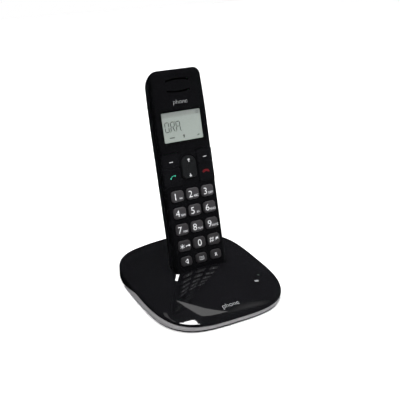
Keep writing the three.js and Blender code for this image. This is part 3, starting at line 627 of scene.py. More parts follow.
def along_ray(angle, measure, high=110.0):
    """The place on a ray from the plan's centre where measure changes from below zero to above."""
    low = 0.0
    direction = (math.cos(angle), math.sin(angle))
    for _ in range(40):
        middle = (low + high) / 2
        x = PLAN_CENTRE[0] + middle * direction[0]
        y = PLAN_CENTRE[1] + middle * direction[1]
        if measure(x, y) < 0:
            low = middle
        else:
            high = middle
    return PLAN_CENTRE[0] + low * direction[0], PLAN_CENTRE[1] + low * direction[1]


def plan_ring(measure):
    return [along_ray(math.tau * (i + 0.5) / PLAN_COUNT, measure) for i in range(PLAN_COUNT)]


def pocket_ring(margin):
    return plan_ring(lambda x, y: outside_pocket(x, y, margin))


def footprint_ring(inset):
    return plan_ring(lambda x, y: outside_footprint(x, y, inset))


def between(first, second, share):
    return [(a[0] + (b[0] - a[0]) * share, a[1] + (b[1] - a[1]) * share) for a, b in zip(first, second)]


def on_dome(ring, drop=0.0):
    return [(x, y, dome_z(x, y) - drop) for x, y in ring]


def down_pocket(ring, height):
    """The lip's ring slid along the handset's axis to one height in the handset's frame."""
    points = []
    for x, y in ring:
        z = dome_z(x, y)
        _, _, here = in_handset(x, y, z)
        points.append(tuple(Vector((x, y, z)) + ALONG * (height - here)))
    return points


def lip_ring(ring, drop):
    """The ring on the dome, dropped a little along the handset's axis."""
    return [tuple(Vector((x, y, dome_z(x, y))) - ALONG * drop) for x, y in ring]


def edge_ring(inset, height_at):
    """The footprint drawn in by inset(y), at a height worked out from the place along the base."""
    ring = plan_ring(lambda x, y: outside_footprint(x, y, inset(y)))
    return [(x, y, height_at(y)) for x, y in ring]


def rim_ring(turn):
    """The rounded rim: turn goes from 0, on the dome, to 90 degrees, on the upright edge."""
    inset = RIM_RADIUS * (1.0 - math.sin(turn))
    drop = RIM_RADIUS * (1.0 - math.cos(turn))
    return on_dome(footprint_ring(inset), drop)


def dome_rings(lip):
    """The outer face, from the rolled lip of the pocket over the dome and round the rim."""
    around = pocket_ring(0.9)
    edge = footprint_ring(RIM_RADIUS + 0.05)
    rings = [lip_ring(lip, 1.0)]
    rings += [lip_ring(between(lip, around, share), drop) for share, drop in ((0.08, 0.45), (0.35, 0.12))]
    dome_steps = 30
    for i in range(dome_steps + 1):
        share = (1.0 - math.cos(math.pi * i / dome_steps)) / 2
        rings.append(on_dome(between(around, edge, share)))
    rings += [rim_ring(math.radians(turn)) for turn in (10, 25, 40, 55, 70, 82, 90)]
    return rings


def base_shell():
    """The glossy top shell: a dome around the cradle's pocket, with a rolled lip and a rounded rim."""
    lip = pocket_ring(0.0)
    under_lip = pocket_ring(POCKET_WALL)
    under_edge = footprint_ring(SHELL_WALL)
    rings = [down_pocket(lip, POCKET_FLOOR), down_pocket(lip, POCKET_FLOOR + 3.0)]
    rings += dome_rings(lip)
    for inset, up in ((0.0, 0.3), (0.06, 0.08), (0.3, 0.0), (SHELL_WALL, 0.0)):
        rings.append(edge_ring(lambda y: inset, lambda y: lower_edge_z(y) + up))
    under_shares = (1.0, 0.9, 0.78, 0.62, 0.45, 0.28, 0.12, 0.0)
    rings += [on_dome(between(under_lip, under_edge, share), SHELL_WALL) for share in under_shares]
    rings += [down_pocket(under_lip, POCKET_FLOOR - POCKET_FLOOR_WALL)]
    shell = loft("glossy_base_shell", rings, ROW)
    holes = []
    for node, shrink, z0 in (("base_status_lens", 0.5, 6.0), ("page_button", 0.55, 8.0)):
        x, y, radius = round_place(node)
        holes.append(turned("hole", [(radius - shrink, z0), (radius - shrink, FAR)], x, y, 48))
    boolean(shell, holes)
    pin_hole = [(PIN_HOLE_RADIUS, -4.0), (PIN_HOLE_RADIUS, 1.0)]
    boolean(shell, [turned("pin_hole", pin_hole, side * PIN_X, PIN_DEPTH, 24, HANDSET) for side in (-1, 1)])
    boolean(shell, [block("cord_notch", (-6.0, 61.0, -1.0), (6.0, 76.0, 5.2), ROW)])
    finish_piece(shell, "glossy_black_shell", "base", ["base_top_shell"])


def round_place(node):
    """Where a round upright CAD node stands, in millimetres: x, y and its radius."""
    low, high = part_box(node)
    return (low.x + high.x) / 2 / MM, (low.y + high.y) / 2 / MM, (high.x - low.x) / 2 / MM


def along_side(y, start, end):
    """0 in front of start, 1 behind end, and a smooth step between them."""
    share = min(1.0, max(0.0, (y - start) / (end - start)))
    return share * share * (3.0 - 2.0 * share)


def trim_band():
    """The silver band under the top shell's edge. It swells a little and reaches lower at the sides."""

    def bulge(y):
        return BAND_BULGE * along_side(y, -64.0, -42.0)

    def bottom(y):
        return BAND_FRONT_BOTTOM + (BAND_SIDE_BOTTOM - BAND_FRONT_BOTTOM) * along_side(y, -28.0, 6.0)

    def top(y):
        return max(bottom(y) + 0.4, lower_edge_z(y) - BAND_GAP)

    profile = [
        (2.5, 0.0), (0.9, 0.0), (0.5, 0.03), (0.2, 0.12), (0.05, 0.25), (0.0, 0.42), (0.02, 0.7), (0.1, 0.9),
        (0.22, 0.97), (0.45, 1.0), (2.5, 1.0),
    ]
    rings = []
    for inward, share in profile:
        rings.append(
            edge_ring(
                lambda y: BAND_INSET + inward - bulge(y),
                lambda y: bottom(y) + share * (top(y) - bottom(y)),
            )
        )
    band = loft("silver_band", rings, ROW, closed=True)
    boolean(band, [block("rear_cut", (-80.0, BAND_REAR, -5.0), (80.0, 90.0, 20.0), ROW)])
    finish_piece(band, "silver_trim", "base", ["base_trim_band"])


def foot_pads():
    for place in ("front_left", "front_right", "rear_left", "rear_right"):
        node = "base_foot_" + place
        x, y, radius = round_place(node)
        profile = [
            (radius - 2.4, 0.12), (radius - 2.0, 0.0), (radius - 0.45, 0.0), (radius - 0.15, 0.12),
            (radius, 0.4), (radius, 1.2),
        ]
        pad = turned("foot_pad_" + place, profile, x, y, 48)
        finish_piece(pad, "rubber_pad", "base", [node])


def status_lens():
    """A small domed lamp lens that stands just proud of the shell."""
    x, y, _ = round_place("base_status_lens")
    top = dome_z(x, y)
    profile = [
        (1.9, 7.0), (1.9, top - 3.6), (1.1, top - 3.6), (1.1, top + 0.02), (0.95, top + 0.22),
        (0.6, top + 0.36), (0.2, top + 0.41),
    ]
    lens = turned("lamp_lens", profile, x, y, 32)
    finish_piece(lens, "lamp_lens", "base", ["base_status_lens"])


def page_button():
    """The page button: a stem, a flange under the shell and a dished cap."""
    x, y, _ = round_place("page_button")
    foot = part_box("page_button")[0].z / MM
    top = dome_z(x, y)
    profile = [
        (1.6, foot), (1.6, top - 5.9), (5.5, top - 5.9), (5.5, top - 5.2), (4.6, top - 5.2),
        (4.6, top + 0.25), (4.45, top + 0.5), (4.1, top + 0.66), (3.4, top + 0.7), (2.2, top + 0.55),
        (1.0, top + 0.45),
    ]
    button = turned("page_key", profile, x, y, 48)
    finish_piece(button, "satin_black_shell", "page_button", ["page_button"])


# ---------------- the handset's shells


def quarter_inset(depth, start, run, drop, wall):
    share = min(1.0, max(0.0, depth - start) / (run - wall))
    return wall + (drop - wall) * (1.0 - math.sqrt(1.0 - share * share))


def leaning_sides(outline, steps):
    """An outline with points added along its sides, which lean in towards the head."""
    half, side_top = outline[steps][0], outline[steps + 1][1]
    up = [(half, TAPER_START + i / 6 * (side_top - TAPER_START)) for i in range(6)]
    down = [(-x, z) for x, z in reversed(up)]
    left = 3 * (steps + 1)
    leaning = []
    for x, z in outline[: steps + 1] + up + outline[steps + 1 : left] + down + outline[left:]:
        share = max(0.0, (z - TAPER_START) / (HANDSET_LENGTH - TAPER_START))
        leaning.append((x * (1.0 - HEAD_TAPER / HANDSET_HALF_WIDTH * share * share), z))
    return leaning


def handset_ring(depth, wall=0.0, steps=10, raised=0.0):
    """The handset's outline at a depth, for the outer face or for the inside of a wall."""
    front = 0.0
    if wall == 0.0 and depth < FRONT_EDGE:
        front = FRONT_EDGE - math.sqrt(FRONT_EDGE**2 - (FRONT_EDGE - depth) ** 2)
    side = front + quarter_inset(depth, HANDSET_DEPTH - BACK_EDGE, BACK_EDGE, BACK_EDGE, wall)
    head = front + quarter_inset(depth, TOP_DROP_START, HANDSET_DEPTH - TOP_DROP_START, TOP_DROP, wall)
    foot = front + quarter_inset(depth, HANDSET_DEPTH - FOOT_EDGE, FOOT_EDGE, FOOT_EDGE, wall)
    share = depth / HANDSET_DEPTH
    head_radius = 5.7 + 7.0 * share - wall - front / 2
    foot_radius = 4.2 + 3.0 * share - wall - front / 2
    half_width, top = HANDSET_HALF_WIDTH - side, HANDSET_LENGTH - head
    outline = rounded(half_width, foot, top, foot_radius, head_radius, steps)
    return at_depth(leaning_sides(outline, steps), depth - raised)


def quarter_depths(start, end, count):
    """Depths that crowd towards the end, where the outline turns fastest."""
    return [start + (end - start) * math.sin(math.pi / 2 * (i + 1) / count) for i in range(count)]


FRONT_DEPTHS = [FRONT_EDGE * (1.0 - math.cos(math.pi / 2 * i / 6)) for i in range(7)]
BACK_START = HANDSET_DEPTH - BACK_EDGE
BACK_DEPTHS = [9.9, 11.4, BACK_START] + quarter_depths(BACK_START, HANDSET_DEPTH, 11)


def number_keys():
    """Name, across and along of each key, with its half width and half height."""
    rows = [("1", "2", "3"), ("4", "5", "6"), ("7", "8", "9"), ("star", "0", "hash")]
    keys = []
    for r, row in enumerate(rows):
        for c, name in enumerate(row):
            x, z = (c - 1) * COLUMN_PITCH, FIRST_ROW - r * ROW_PITCH
            keys.append((name, x, z, KEY_WIDTH / 2, KEY_HEIGHT / 2))
    last = FIRST_ROW - 3 * ROW_PITCH - LAST_ROW_PITCH
    for c, name in enumerate(("speaker", "phonebook", "recall")):
        keys.append((name, (c - 1) * COLUMN_PITCH, last, SMALL_KEY_WIDTH / 2, SMALL_KEY_HEIGHT / 2))
    return keys


KEYS = number_keys()


def earpiece_slot(side):
    """An arched slot above or below the middle of the earpiece."""
    steps = 16

    def arch(offset):
        points = []
        for i in range(steps + 1):
            x = EARPIECE_HALF_WIDTH * 0.92 * (1 - 2 * i / steps)
            drop = 1.6 * (x / EARPIECE_HALF_WIDTH) ** 2
            points.append((x, EARPIECE_Z + side * (EARPIECE_HALF_HEIGHT - drop) + offset))
        return points

    outline = arch(0.75) + list(reversed(arch(-0.75)))
    return loft("slot", [at_depth(outline, CUT_FRONT), at_depth(outline, CUT_BACK)])


def earpiece_dish():
    """The shallow hollow of the earpiece, from its edge to its middle."""
    rings = []
    levels = ((1.1, -0.5), (1.02, 0.0), (0.97, 0.09), (0.85, 0.25), (0.65, 0.45), (0.4, 0.57), (0.15, 0.61))
    for share, depth in levels:
        across, along = (EARPIECE_HALF_WIDTH + 1.0) * share, (EARPIECE_HALF_HEIGHT + 1.2) * share
        rings.append(at_depth(ellipse(across, along, 48, (0.0, EARPIECE_Z)), depth))
    return loft("dish", rings)


def earpiece_cloth():
    """The black acoustic cloth behind the slots."""
    outline = ellipse(EARPIECE_HALF_WIDTH + 1.0, 7.5, 40, (0.0, EARPIECE_Z))
    cloth = loft("earpiece_cloth", [at_depth(outline, depth) for depth in (1.86, 2.0)])
    finish_piece(cloth, "speaker_cone", "handset", material=CLOTH)


def drawn_in(ring):
    """A ring a little narrower, so that the two shells meet in a fine groove."""
    return [(x * 0.994, depth, z) for x, depth, z in ring]


def face_hole(name, x, z, half_width, half_height, gap, radius, end):
    """A cutter through the face for something of this size, with a gap all round it."""
    bottom, top = z - half_height - gap, z + half_height + gap
    return plate(name, x, half_width + gap, bottom, top, radius, CUT_FRONT, end)


def face_cutters():
    """What is cut out of the face for the keys, the rocker and the display."""
    key_radius = KEY_RADIUS + KEY_HOLE
    cutters = [face_hole("key_hole", *key[1:], KEY_HOLE, key_radius, CUT_BACK) for key in KEYS]
    for side in (-1, 1):
        x0, x1 = sorted((side * (SIDE_KEY_INNER - GAP), side * FAR))
        low = (x0, -5.0, SIDE_KEY_BOTTOM - GAP)
        high = (x1, SIDE_KEY_DEPTH + 0.8, SIDE_KEY_TOP + GAP)
        cutters.append(block("notch", low, high))
    half_width = ROCKER_HALF_WIDTH + ROCKER_HOLE
    bottom, top = ROCKER_BOTTOM - ROCKER_HOLE, ROCKER_TOP + ROCKER_HOLE
    cutters.append(plate("rocker_hole", 0.0, half_width, bottom, top, 4.2, CUT_FRONT, CUT_BACK, 8, 6.4))
    window = (WINDOW_WIDTH / 2, WINDOW_HEIGHT / 2)
    cutters.append(face_hole("window_seat", 0.0, DISPLAY_Z, *window, WINDOW_GAP, 1.5, 1.2))
    panel = (DISPLAY_WIDTH / 2, DISPLAY_HEIGHT / 2)
    cutters.append(face_hole("display_hole", 0.0, DISPLAY_Z, *panel, GAP, 0.8, CUT_BACK))
    return cutters


def front_shell():
    """The glossy front shell: its face and sides, and the inside of its wall."""
    rings = [handset_ring(depth) for depth in FRONT_DEPTHS + [4.0, 6.5, PARTING - 0.25]]
    rings.append(drawn_in(handset_ring(PARTING)))
    rings += [handset_ring(depth, HANDSET_WALL) for depth in (PARTING, 5.0, HANDSET_WALL)]
    shell = loft("gloss_front_shell", rings)
    microphone = bar_in_depth("mic", 0.0, 4.6, 0.9, CUT_FRONT, CUT_BACK, 20)
    boolean(shell, [earpiece_slot(1), earpiece_slot(-1), earpiece_dish(), microphone] + face_cutters())
    finish_piece(shell, "glossy_black_shell", "handset", ["handset_front_shell"])


def rear_tub():
    """The rear shell as an open tub: outside first, over the rim, then the inside."""
    start = PARTING + GAP
    outside = [handset_ring(depth) for depth in reversed([start + 0.25] + BACK_DEPTHS)]
    inner_depths = [start, 11.0, BACK_START] + quarter_depths(BACK_START, HANDSET_DEPTH - HANDSET_WALL, 6)
    inside = [handset_ring(depth, HANDSET_WALL) for depth in inner_depths]
    shell = loft("satin_rear_shell", outside + [drawn_in(handset_ring(start))] + inside)
    half_width, bottom, top = COVER_HALF_WIDTH + GAP, COVER_BOTTOM - GAP, COVER_TOP + GAP
    through = HANDSET_DEPTH - HANDSET_WALL - 0.5
    cutters = [plate("cover_hole", 0.0, half_width, bottom, top, 1.6, through, FAR)]
    for i in range(-3, 4):
        half = math.sqrt(GRILLE_RADIUS**2 - (i * GRILLE_PITCH) ** 2)
        z = GRILLE_Z + i * GRILLE_PITCH
        cutters.append(plate("grille", 0.0, half, z - 0.6, z + 0.6, 0.55, 18.0, 25.0))
    for side in (-1, 1):
        x = side * PIN_X
        cutters.append(block("plate_slot", (x - 2.3, PIN_DEPTH - 2.8, -1.0), (x + 2.3, PIN_DEPTH + 2.8, 3.0)))
        cutters.append(bar_in_depth("screw_hole", side * 18.4, 150.0, 2.4, 11.0, 30.0, 28))
    boolean(shell, cutters)
    finish_piece(shell, "satin_black_shell", "handset", ["handset_rear_shell"])


def battery_tray():
    """The open box behind the cover that holds the two cells, with the ledge that the cover sits on."""
    floor = CELL_DEPTH - CELL_RADIUS - 1.3
    z0, z1 = CELL_BOTTOM - TRAY_END, CELL_BOTTOM + CELL_LENGTH + TRAY_END
    half, room = TRAY_HALF_WIDTH, TRAY_HALF_WIDTH - TRAY_WALL
    outer = block("battery_tray", (-half, floor, z0), (half, 19.5, z1))
    hollow = block("room", (-room, floor + 0.9, z0 + TRAY_WALL), (room, 25.0, z1 - TRAY_WALL))
    boolean(outer, [hollow])
    finish_piece(outer, "satin_black_shell", "handset")
    ledge = plate("cover_ledge", 0.0, 14.2, COVER_BOTTOM - 1.5, COVER_TOP + 1.5, 2.0, 18.6, 19.7)
    boolean(ledge, [block("opening", (-12.5, 15.0, z0 - 0.1), (12.5, 25.0, z1 + 0.1))])
    finish_piece(ledge, "satin_black_shell", "handset")


def battery_cover():
    """The sliding cover: a flush plate with a thumb hold of raised ribs."""
    back = HANDSET_DEPTH
    levels = [(back - 1.5, 0.0), (back - 0.25, 0.0), (back - 0.07, -0.07), (back, -0.25)]
    cover = cap("battery_door", 0.0, COVER_BOTTOM, COVER_TOP, COVER_HALF_WIDTH, (1.4, 1.4), levels, share=1.0)
    finish_piece(cover, "satin_black_shell", "battery_cover", ["battery_cover"])
    levels = [(back - 0.1, 0.0), (back + 0.2, -0.1), (back + 0.34, -0.3)]
    for i in range(6):
        z = 101.5 - i * 1.9
        half = 7.0 - i * 1.1
        name = f"door_rib_{i + 1}"
        rib = cap(name, 0.0, z - 0.45, z + 0.45, half, (0.4, 0.4), levels, steps=4, share=0.5, least=0.2)
        finish_piece(rib, "satin_black_shell", "battery_cover")


# ---------------- keys


KEY_LEVELS = [
    (2.9, 0.8), (2.1, 0.8), (2.1, 0.0), (-0.62, 0.0), (-0.86, -0.06), (-1.05, -0.2), (-1.19, -0.44),
    (-1.27, -0.8), (-1.31, -1.4), (-1.34, -2.3), (-1.36, -3.4),
]
KEY_TOP = -1.36


def keypad():
    radii = (KEY_RADIUS, KEY_RADIUS)
    for name, x, z, half_width, half_height in KEYS:
        key = cap("cap_" + name, x, z - half_height, z + half_height, half_width, radii, KEY_LEVELS)
        finish_piece(key, "key_plastic", "key_" + name, ["key_" + name])


def rocker():
    levels = [
        (3.1, 0.6), (2.4, 0.6), (2.4, 0.0), (-0.7, 0.0), (-0.95, -0.06), (-1.15, -0.2), (-1.3, -0.45),
        (-1.38, -0.8), (-1.4, -1.3), (-1.36, -2.2), (-1.3, -3.2),
    ]
    key = cap("rocker_cap", 0.0, ROCKER_BOTTOM, ROCKER_TOP, ROCKER_HALF_WIDTH, (3.8, 6.0), levels, 12)
    finish_piece(key, "key_plastic", "navigation_rocker", ["navigation_rocker"], ROCKER_BLACK)


def side_key(name, node, side, bottom, top):
    """A soft key or a call key: it wraps over the handset's edge and stands a little proud."""
    rings = [handset_ring(depth, raised=SIDE_KEY_RISE) for depth in FRONT_DEPTHS + [FRONT_EDGE + 2.0, 6.0]]
    key = loft(name, rings)
    inner, outer = SIDE_KEY_INNER, FAR
    outline = rounded((outer - inner) / 2, bottom, top, 1.1, steps=6)
    middle = side * (inner + outer) / 2
    keep = loft("keep", [at_depth(outline, depth, middle) for depth in (-10.0, SIDE_KEY_DEPTH)])
    boolean(key, [keep], "INTERSECT")
    finish_piece(key, "glossy_black_shell", node, [node], GLOSS_KEY)


def side_keys():
    low, high = SIDE_KEY_SPLIT - 0.15, SIDE_KEY_SPLIT + 0.15
    side_key("soft_cap_left", "soft_key_left", -1, high, SIDE_KEY_TOP)
    side_key("soft_cap_right", "soft_key_right", 1, high, SIDE_KEY_TOP)
    side_key("talk_cap", "talk_key", -1, SIDE_KEY_BOTTOM, low)
    side_key("end_cap", "end_key", 1, SIDE_KEY_BOTTOM, low)


# ---------------- marks

INK = 0.05  # thickness of a printed mark


def mark(name, outlines, depth, ink, body, slot="key_plastic"):
    """Flat outlines in the handset's face plane, printed at a depth."""
    pieces = [loft("stroke", [at_depth(outline, depth + y) for y in (INK, -INK)]) for outline in outlines]
    finish_piece(merged(name, pieces), slot, body, material=ink)


def stroke(points, width):
    """The outline of a line of constant width through points."""
    left, right = [], []
    for i, (x, z) in enumerate(points):
        before = points[max(0, i - 1)]
        after = points[min(len(points) - 1, i + 1)]
        along = Vector((after[0] - before[0], after[1] - before[1])).normalized()
        left.append((x - along.y * width / 2, z + along.x * width / 2))
        right.append((x + along.y * width / 2, z - along.x * width / 2))
    return left + right[::-1]


def strokes(x, z, *lines):
    """Strokes from a place, each given by its width and then its points, measured from there."""
    return [stroke([(x + u, z + v) for u, v in points], width) for width, *points in lines]


def arc(centre, radius, start, end, steps=12):
    turns = [math.radians(start + (end - start) * i / steps) for i in range(steps + 1)]
    return [(centre[0] + radius * math.cos(t), centre[1] + radius * math.sin(t)) for t in turns]


def lettering(
    name, text, centre, height, ink, body, depth, slot="key_plastic", place=None, bold=0.0, squeeze=1.0
):
    """Text as a thin raised print, scaled so that its letters stand height tall, centred on a place."""
    curve = bpy.data.curves.new(name, "FONT")
    curve.body = text
    curve.size = 1.0
    curve.offset = bold
    curve.resolution_u = 5
    curve.extrude = 0.02
    shown = placed(name, curve)
    bpy.context.view_layer.update()
    mesh = bpy.data.meshes.new_from_object(shown.evaluated_get(bpy.context.evaluated_depsgraph_get()))
    bpy.data.objects.remove(shown)
    xs = [v.co.x for v in mesh.vertices]
    ys = [v.co.y for v in mesh.vertices]
    scale = height / (max(ys) - min(ys))
    middle_x, middle_y = (max(xs) + min(xs)) / 2, (max(ys) + min(ys)) / 2
    for vertex in mesh.vertices:
        x = (vertex.co.x - middle_x) * scale * squeeze + centre[0]
        z = (vertex.co.y - middle_y) * scale + centre[1]
        y = depth + (INK if vertex.co.z < 0 else -INK)
        vertex.co = place(x, y, z) if place else HANDSET @ Vector((x, y, z))
    finish_piece(placed(name, mesh), slot, body, material=ink)


LETTERS = {
    "1": "oo", "2": "ABC", "3": "DEF", "4": "GHI", "5": "JKL", "6": "MNO", "7": "PQRS", "8": "TUV",
    "9": "WXYZ",
}
DIGIT_BOLD = -0.012  # below zero, it thins the strokes of the built-in typeface
WORD_BOLD = -0.028
PROUD = 0.02  # how far a mark stands off what it is printed on
DIGIT_HEIGHT = 5.5
ROCKER_MARK_DEPTH = -1.42


def key_legends():
    places = {name: (x, z) for name, x, z, _, _ in KEYS}
    top = KEY_TOP - PROUD
    for name, letters in LETTERS.items():
        x, z = places[name]
        body = "key_" + name
        lettering("digit_" + name, name, (x - 2.4, z), DIGIT_HEIGHT, WHITE_INK, body, top, bold=DIGIT_BOLD)
        height = 1.3 if name == "1" else 1.8
        squeeze = 0.82 if len(letters) > 3 else 0.95
        spot = (x + 2.5, z - 1.9)
        lettering("letters_" + name, letters, spot, height, LETTER_INK, body, top, squeeze=squeeze)
    lettering("digit_0", "0", places["0"], DIGIT_HEIGHT, WHITE_INK, "key_0", top, bold=DIGIT_BOLD)
    star_key(*places["star"], top)
    hash_key(*places["hash"], top)
    function_marks(places, top)


def star_key(x, z, top):
    """A star, and a small key that stands for the keypad lock."""
    arms = []
    for i in range(3):
        angle = math.radians(30 + 60 * i)
        dx, dz = 2.1 * math.cos(angle), 2.1 * math.sin(angle)
        arms.append(stroke([(x - 2.4 - dx, z + 0.1 - dz), (x - 2.4 + dx, z + 0.1 + dz)], 0.34))
    mark("star_mark", arms, top, WHITE_INK, "key_star")
    bow = arc((x + 4.0, z), 0.8, 0, 360, 16)[:-1]
    shank = strokes(x, z, (0.45, (0.9, 0.0), (3.4, 0.0)), (0.4, (1.2, 0.0), (1.2, -0.9)))
    mark("lock_mark", [bow] + shank, top, WHITE_INK, "key_star")


def hash_lines(x, z, size, width):
    """The four strokes of a hash, a little leaning."""
    lean = size * 0.12
    lines = []
    for offset in (-size * 0.26, size * 0.26):
        lines.append(stroke([(x + offset - lean, z - size / 2), (x + offset + lean, z + size / 2)], width))
        lines.append(stroke([(x - size / 2, z + offset), (x + size / 2, z + offset)], width))
    return lines


def hash_key(x, z, top):
    mark("hash_mark", hash_lines(x - 2.5, z + 0.1, 4.0, 0.42), top, WHITE_INK, "key_hash")
    bell = arc((x + 2.6, z + 0.3), 1.15, 0, 180, 10)
    bars = strokes(x, z, (0.55, (1.2, 0.1), (4.0, 0.1)), (0.35, (1.3, -1.2), (3.9, 1.7)))
    mark("ringer_mark", [bell] + bars, top, WHITE_INK, "key_hash")


def function_marks(places, top):
    """Loudspeaker, phonebook and recall marks on the last row."""
    horn = strokes(
        *places["speaker"],
        (0.55, (0.9, 1.9), (-1.5, 0.05), (0.9, -1.8)),
        (0.55, (0.9, -1.9), (0.9, 1.9)),
    )
    mark("loudspeaker_mark", horn, top, WHITE_INK, "key_speaker")
    book = strokes(
        *places["phonebook"],
        (0.4, (-1.9, -1.4), (-1.9, 1.3), (0.0, 0.9), (1.9, 1.3), (1.9, -1.4)),
        (0.4, (-1.9, -1.4), (0.0, -1.7), (1.9, -1.4)),
        (0.35, (0.0, -1.7), (0.0, 0.9)),
        (0.3, (-1.3, 0.1), (-0.6, 0.0)),
        (0.3, (0.6, 0.0), (1.3, 0.1)),
    )
    mark("phonebook_mark", book, top, GREY_INK, "key_phonebook")
    lettering("recall_mark", "R", places["recall"], 2.9, WHITE_INK, "key_recall", top, bold=0.01)


def handset_symbol(x, z, tilt, size, weight):
    """A small telephone receiver: a bow with two heavier ends."""
    shapes = [stroke(arc((0.0, -size * 0.75), size * 0.95, 48, 132, 14), size * weight)]
    for side in (-1, 1):
        end = [(side * size * 0.6, -size * 0.02), (side * size * 0.8, -size * 0.2)]
        shapes.append(stroke(end, size * 0.34))
    return [rotated(shape, math.radians(tilt), (x, z)) for shape in shapes]


def face_marks():
    side_top = -SIDE_KEY_RISE - PROUD
    for side, node in ((-1, "soft_key_left"), (1, "soft_key_right")):
        dash = stroke([(side * 15.8 - 1.6, 100.5), (side * 15.8 + 1.6, 100.5)], 0.55)
        mark("soft_mark_" + node, [dash], side_top, PALE_INK, node)
    mark("talk_mark", handset_symbol(-16.0, 88.2, 24, 3.2, 0.12), side_top, GREEN_INK, "talk_key")
    mark("end_mark", handset_symbol(15.2, 88.0, 0, 3.9, 0.5), side_top, RED_INK, "end_key")
    rocker_marks()
    lettering(
        "word_mark", "phone", (0.4, 148.6), 4.6, PALE_INK, "handset", -0.03, "glossy_black_shell",
        bold=WORD_BOLD,
    )


def on_dome_top(x, depth, y):
    return Vector((x, y, dome_z(x, y) - depth)) * MM


def base_marks():
    """A word at the front of the base and a small charging sign beside the lamp."""
    slot = "glossy_black_shell"
    word, sign = (-0.5, -57.5), (35.5, -39.2)
    lettering("base_word", "phone", word, 5.4, PALE_INK, "base", -0.03, slot, on_dome_top, WORD_BOLD)
    lettering("charge_sign", "=", sign, 1.5, PALE_INK, "base", -0.05, slot, on_dome_top, squeeze=1.5)


def rocker_marks():
    """An arrow at the top of the rocker and one at its foot."""
    for name, z, way in (("up_mark", 99.8, 1), ("down_mark", 87.2, -1)):
        head = (0.55, (-1.1, way * 0.3), (0.0, way * 1.3), (1.1, way * 0.3))
        shaft = (0.75, (0.0, way * -1.3), (0.0, way * 1.0))
        mark(name, strokes(0.1, z, head, shaft), ROCKER_MARK_DEPTH, PALE_INK, "navigation_rocker")


# ---------------- display


DISPLAY_FACE = 1.12


def segment_character(x, z, width, height, lit):
    """A fourteen-segment character from the segments that are lit."""
    left, right = x - width / 2, x + width / 2
    top, middle, bottom = z + height / 2, z, z - height / 2
    ends = {
        "a": ((left, top), (right, top)),
        "b": ((right, top), (right, middle)),
        "c": ((right, middle), (right, bottom)),
        "d": ((left, bottom), (right, bottom)),
        "e": ((left, bottom), (left, middle)),
        "f": ((left, middle), (left, top)),
        "g": ((left, middle), (x, middle)),
        "h": ((x, middle), (right, middle)),
        "k": ((x, middle), (right, bottom)),
    }
    strokes = []
    for key in lit:
        (x0, z0), (x1, z1) = ends[key]
        trim = 0.12
        start = (x0 + (x1 - x0) * trim, z0 + (z1 - z0) * trim)
        end = (x1 - (x1 - x0) * trim, z1 - (z1 - z0) * trim)
        strokes.append(stroke([start, end], 0.6))
    return strokes


def display():
    """The clear window, the crystal panel just behind it, and what the panel shows."""
    reach = WINDOW_HEIGHT / 2
    levels = [(1.0, 0.0), (WINDOW_CHAMFER, 0.0), (0.0, -WINDOW_CHAMFER)]
    radii = (1.3, 1.3)
    window = cap(
        "clear_window", 0.0, DISPLAY_Z - reach, DISPLAY_Z + reach, WINDOW_WIDTH / 2, radii, levels, share=0.0
    )
    finish_piece(window, "display_window", "handset", ["display_window"])
    half_width, half_height = DISPLAY_WIDTH / 2, DISPLAY_HEIGHT / 2
    bottom, top = DISPLAY_Z - half_height, DISPLAY_Z + half_height
    panel = plate("crystal_panel", 0.0, half_width, bottom, top, 0.6, 1.2, 4.6, 3)
    finish_piece(panel, "display_glass", "handset", ["display_panel"])
    display_marks()


def display_marks():
    """Three characters with the dots beside them, the signs in the last row and the fainter ones."""
    shown = []
    for lit, x in (("abcdef", -14.3), ("abefghk", -9.1), ("abcefgh", -4.0)):
        shown += segment_character(x, DISPLAY_Z + 0.4, 3.4, 8.0, lit)
    for x, z in ((-11.7, -3.5), (-6.5, -3.5), (-6.5, 4.3), (-1.4, -3.5)):
        shown += strokes(0.0, DISPLAY_Z, (0.6, (x - 0.3, z), (x + 0.3, z)))
    signs = strokes(0.0, DISPLAY_Z, (0.9, (0.2, -9.8), (0.2, -7.2)), (0.6, (-0.6, -7.9), (1.0, -7.9)))
    faint = strokes(
        0.0, DISPLAY_Z,
        (0.9, (-13.0, -8.6), (-8.6, -8.6)),
        (0.9, (12.8, -9.4), (14.6, -9.0)),
        (0.35, (13.6, 9.0), (15.8, 9.0), (15.8, 10.4), (13.6, 10.4)),
    )
    for name, outlines, ink in (
        ("display_characters", shown, SEGMENT_INK),
        ("display_signs", signs, SEGMENT_INK),
        ("display_faint_signs", faint, FAINT_SEGMENT_INK),
    ):
        mark(name, outlines, DISPLAY_FACE, ink, "handset", "display_glass")


# ---------------- CAD nodes that stay


def dress_cad_nodes():
    slots = {part["node"]: part["material_slot"] for part in frame["record"]["subparts"]}
    for name, node in frame["nodes"].items():
        if node.hide_render:
            continue
        node.data.materials.clear()
        node.data.materials.append(LOOKS[slots[name]])


# ---------------- studio


def area_light(name, place, target, size, power):
    light = bpy.data.lights.new(name, "AREA")
    light.shape = "SQUARE"
    light.size = size
    light.energy = power
    made = placed(name, light)
    made.location = place
    made.rotation_euler = (Vector(target) - Vector(place)).to_track_quat("-Z", "Y").to_euler()
    return made


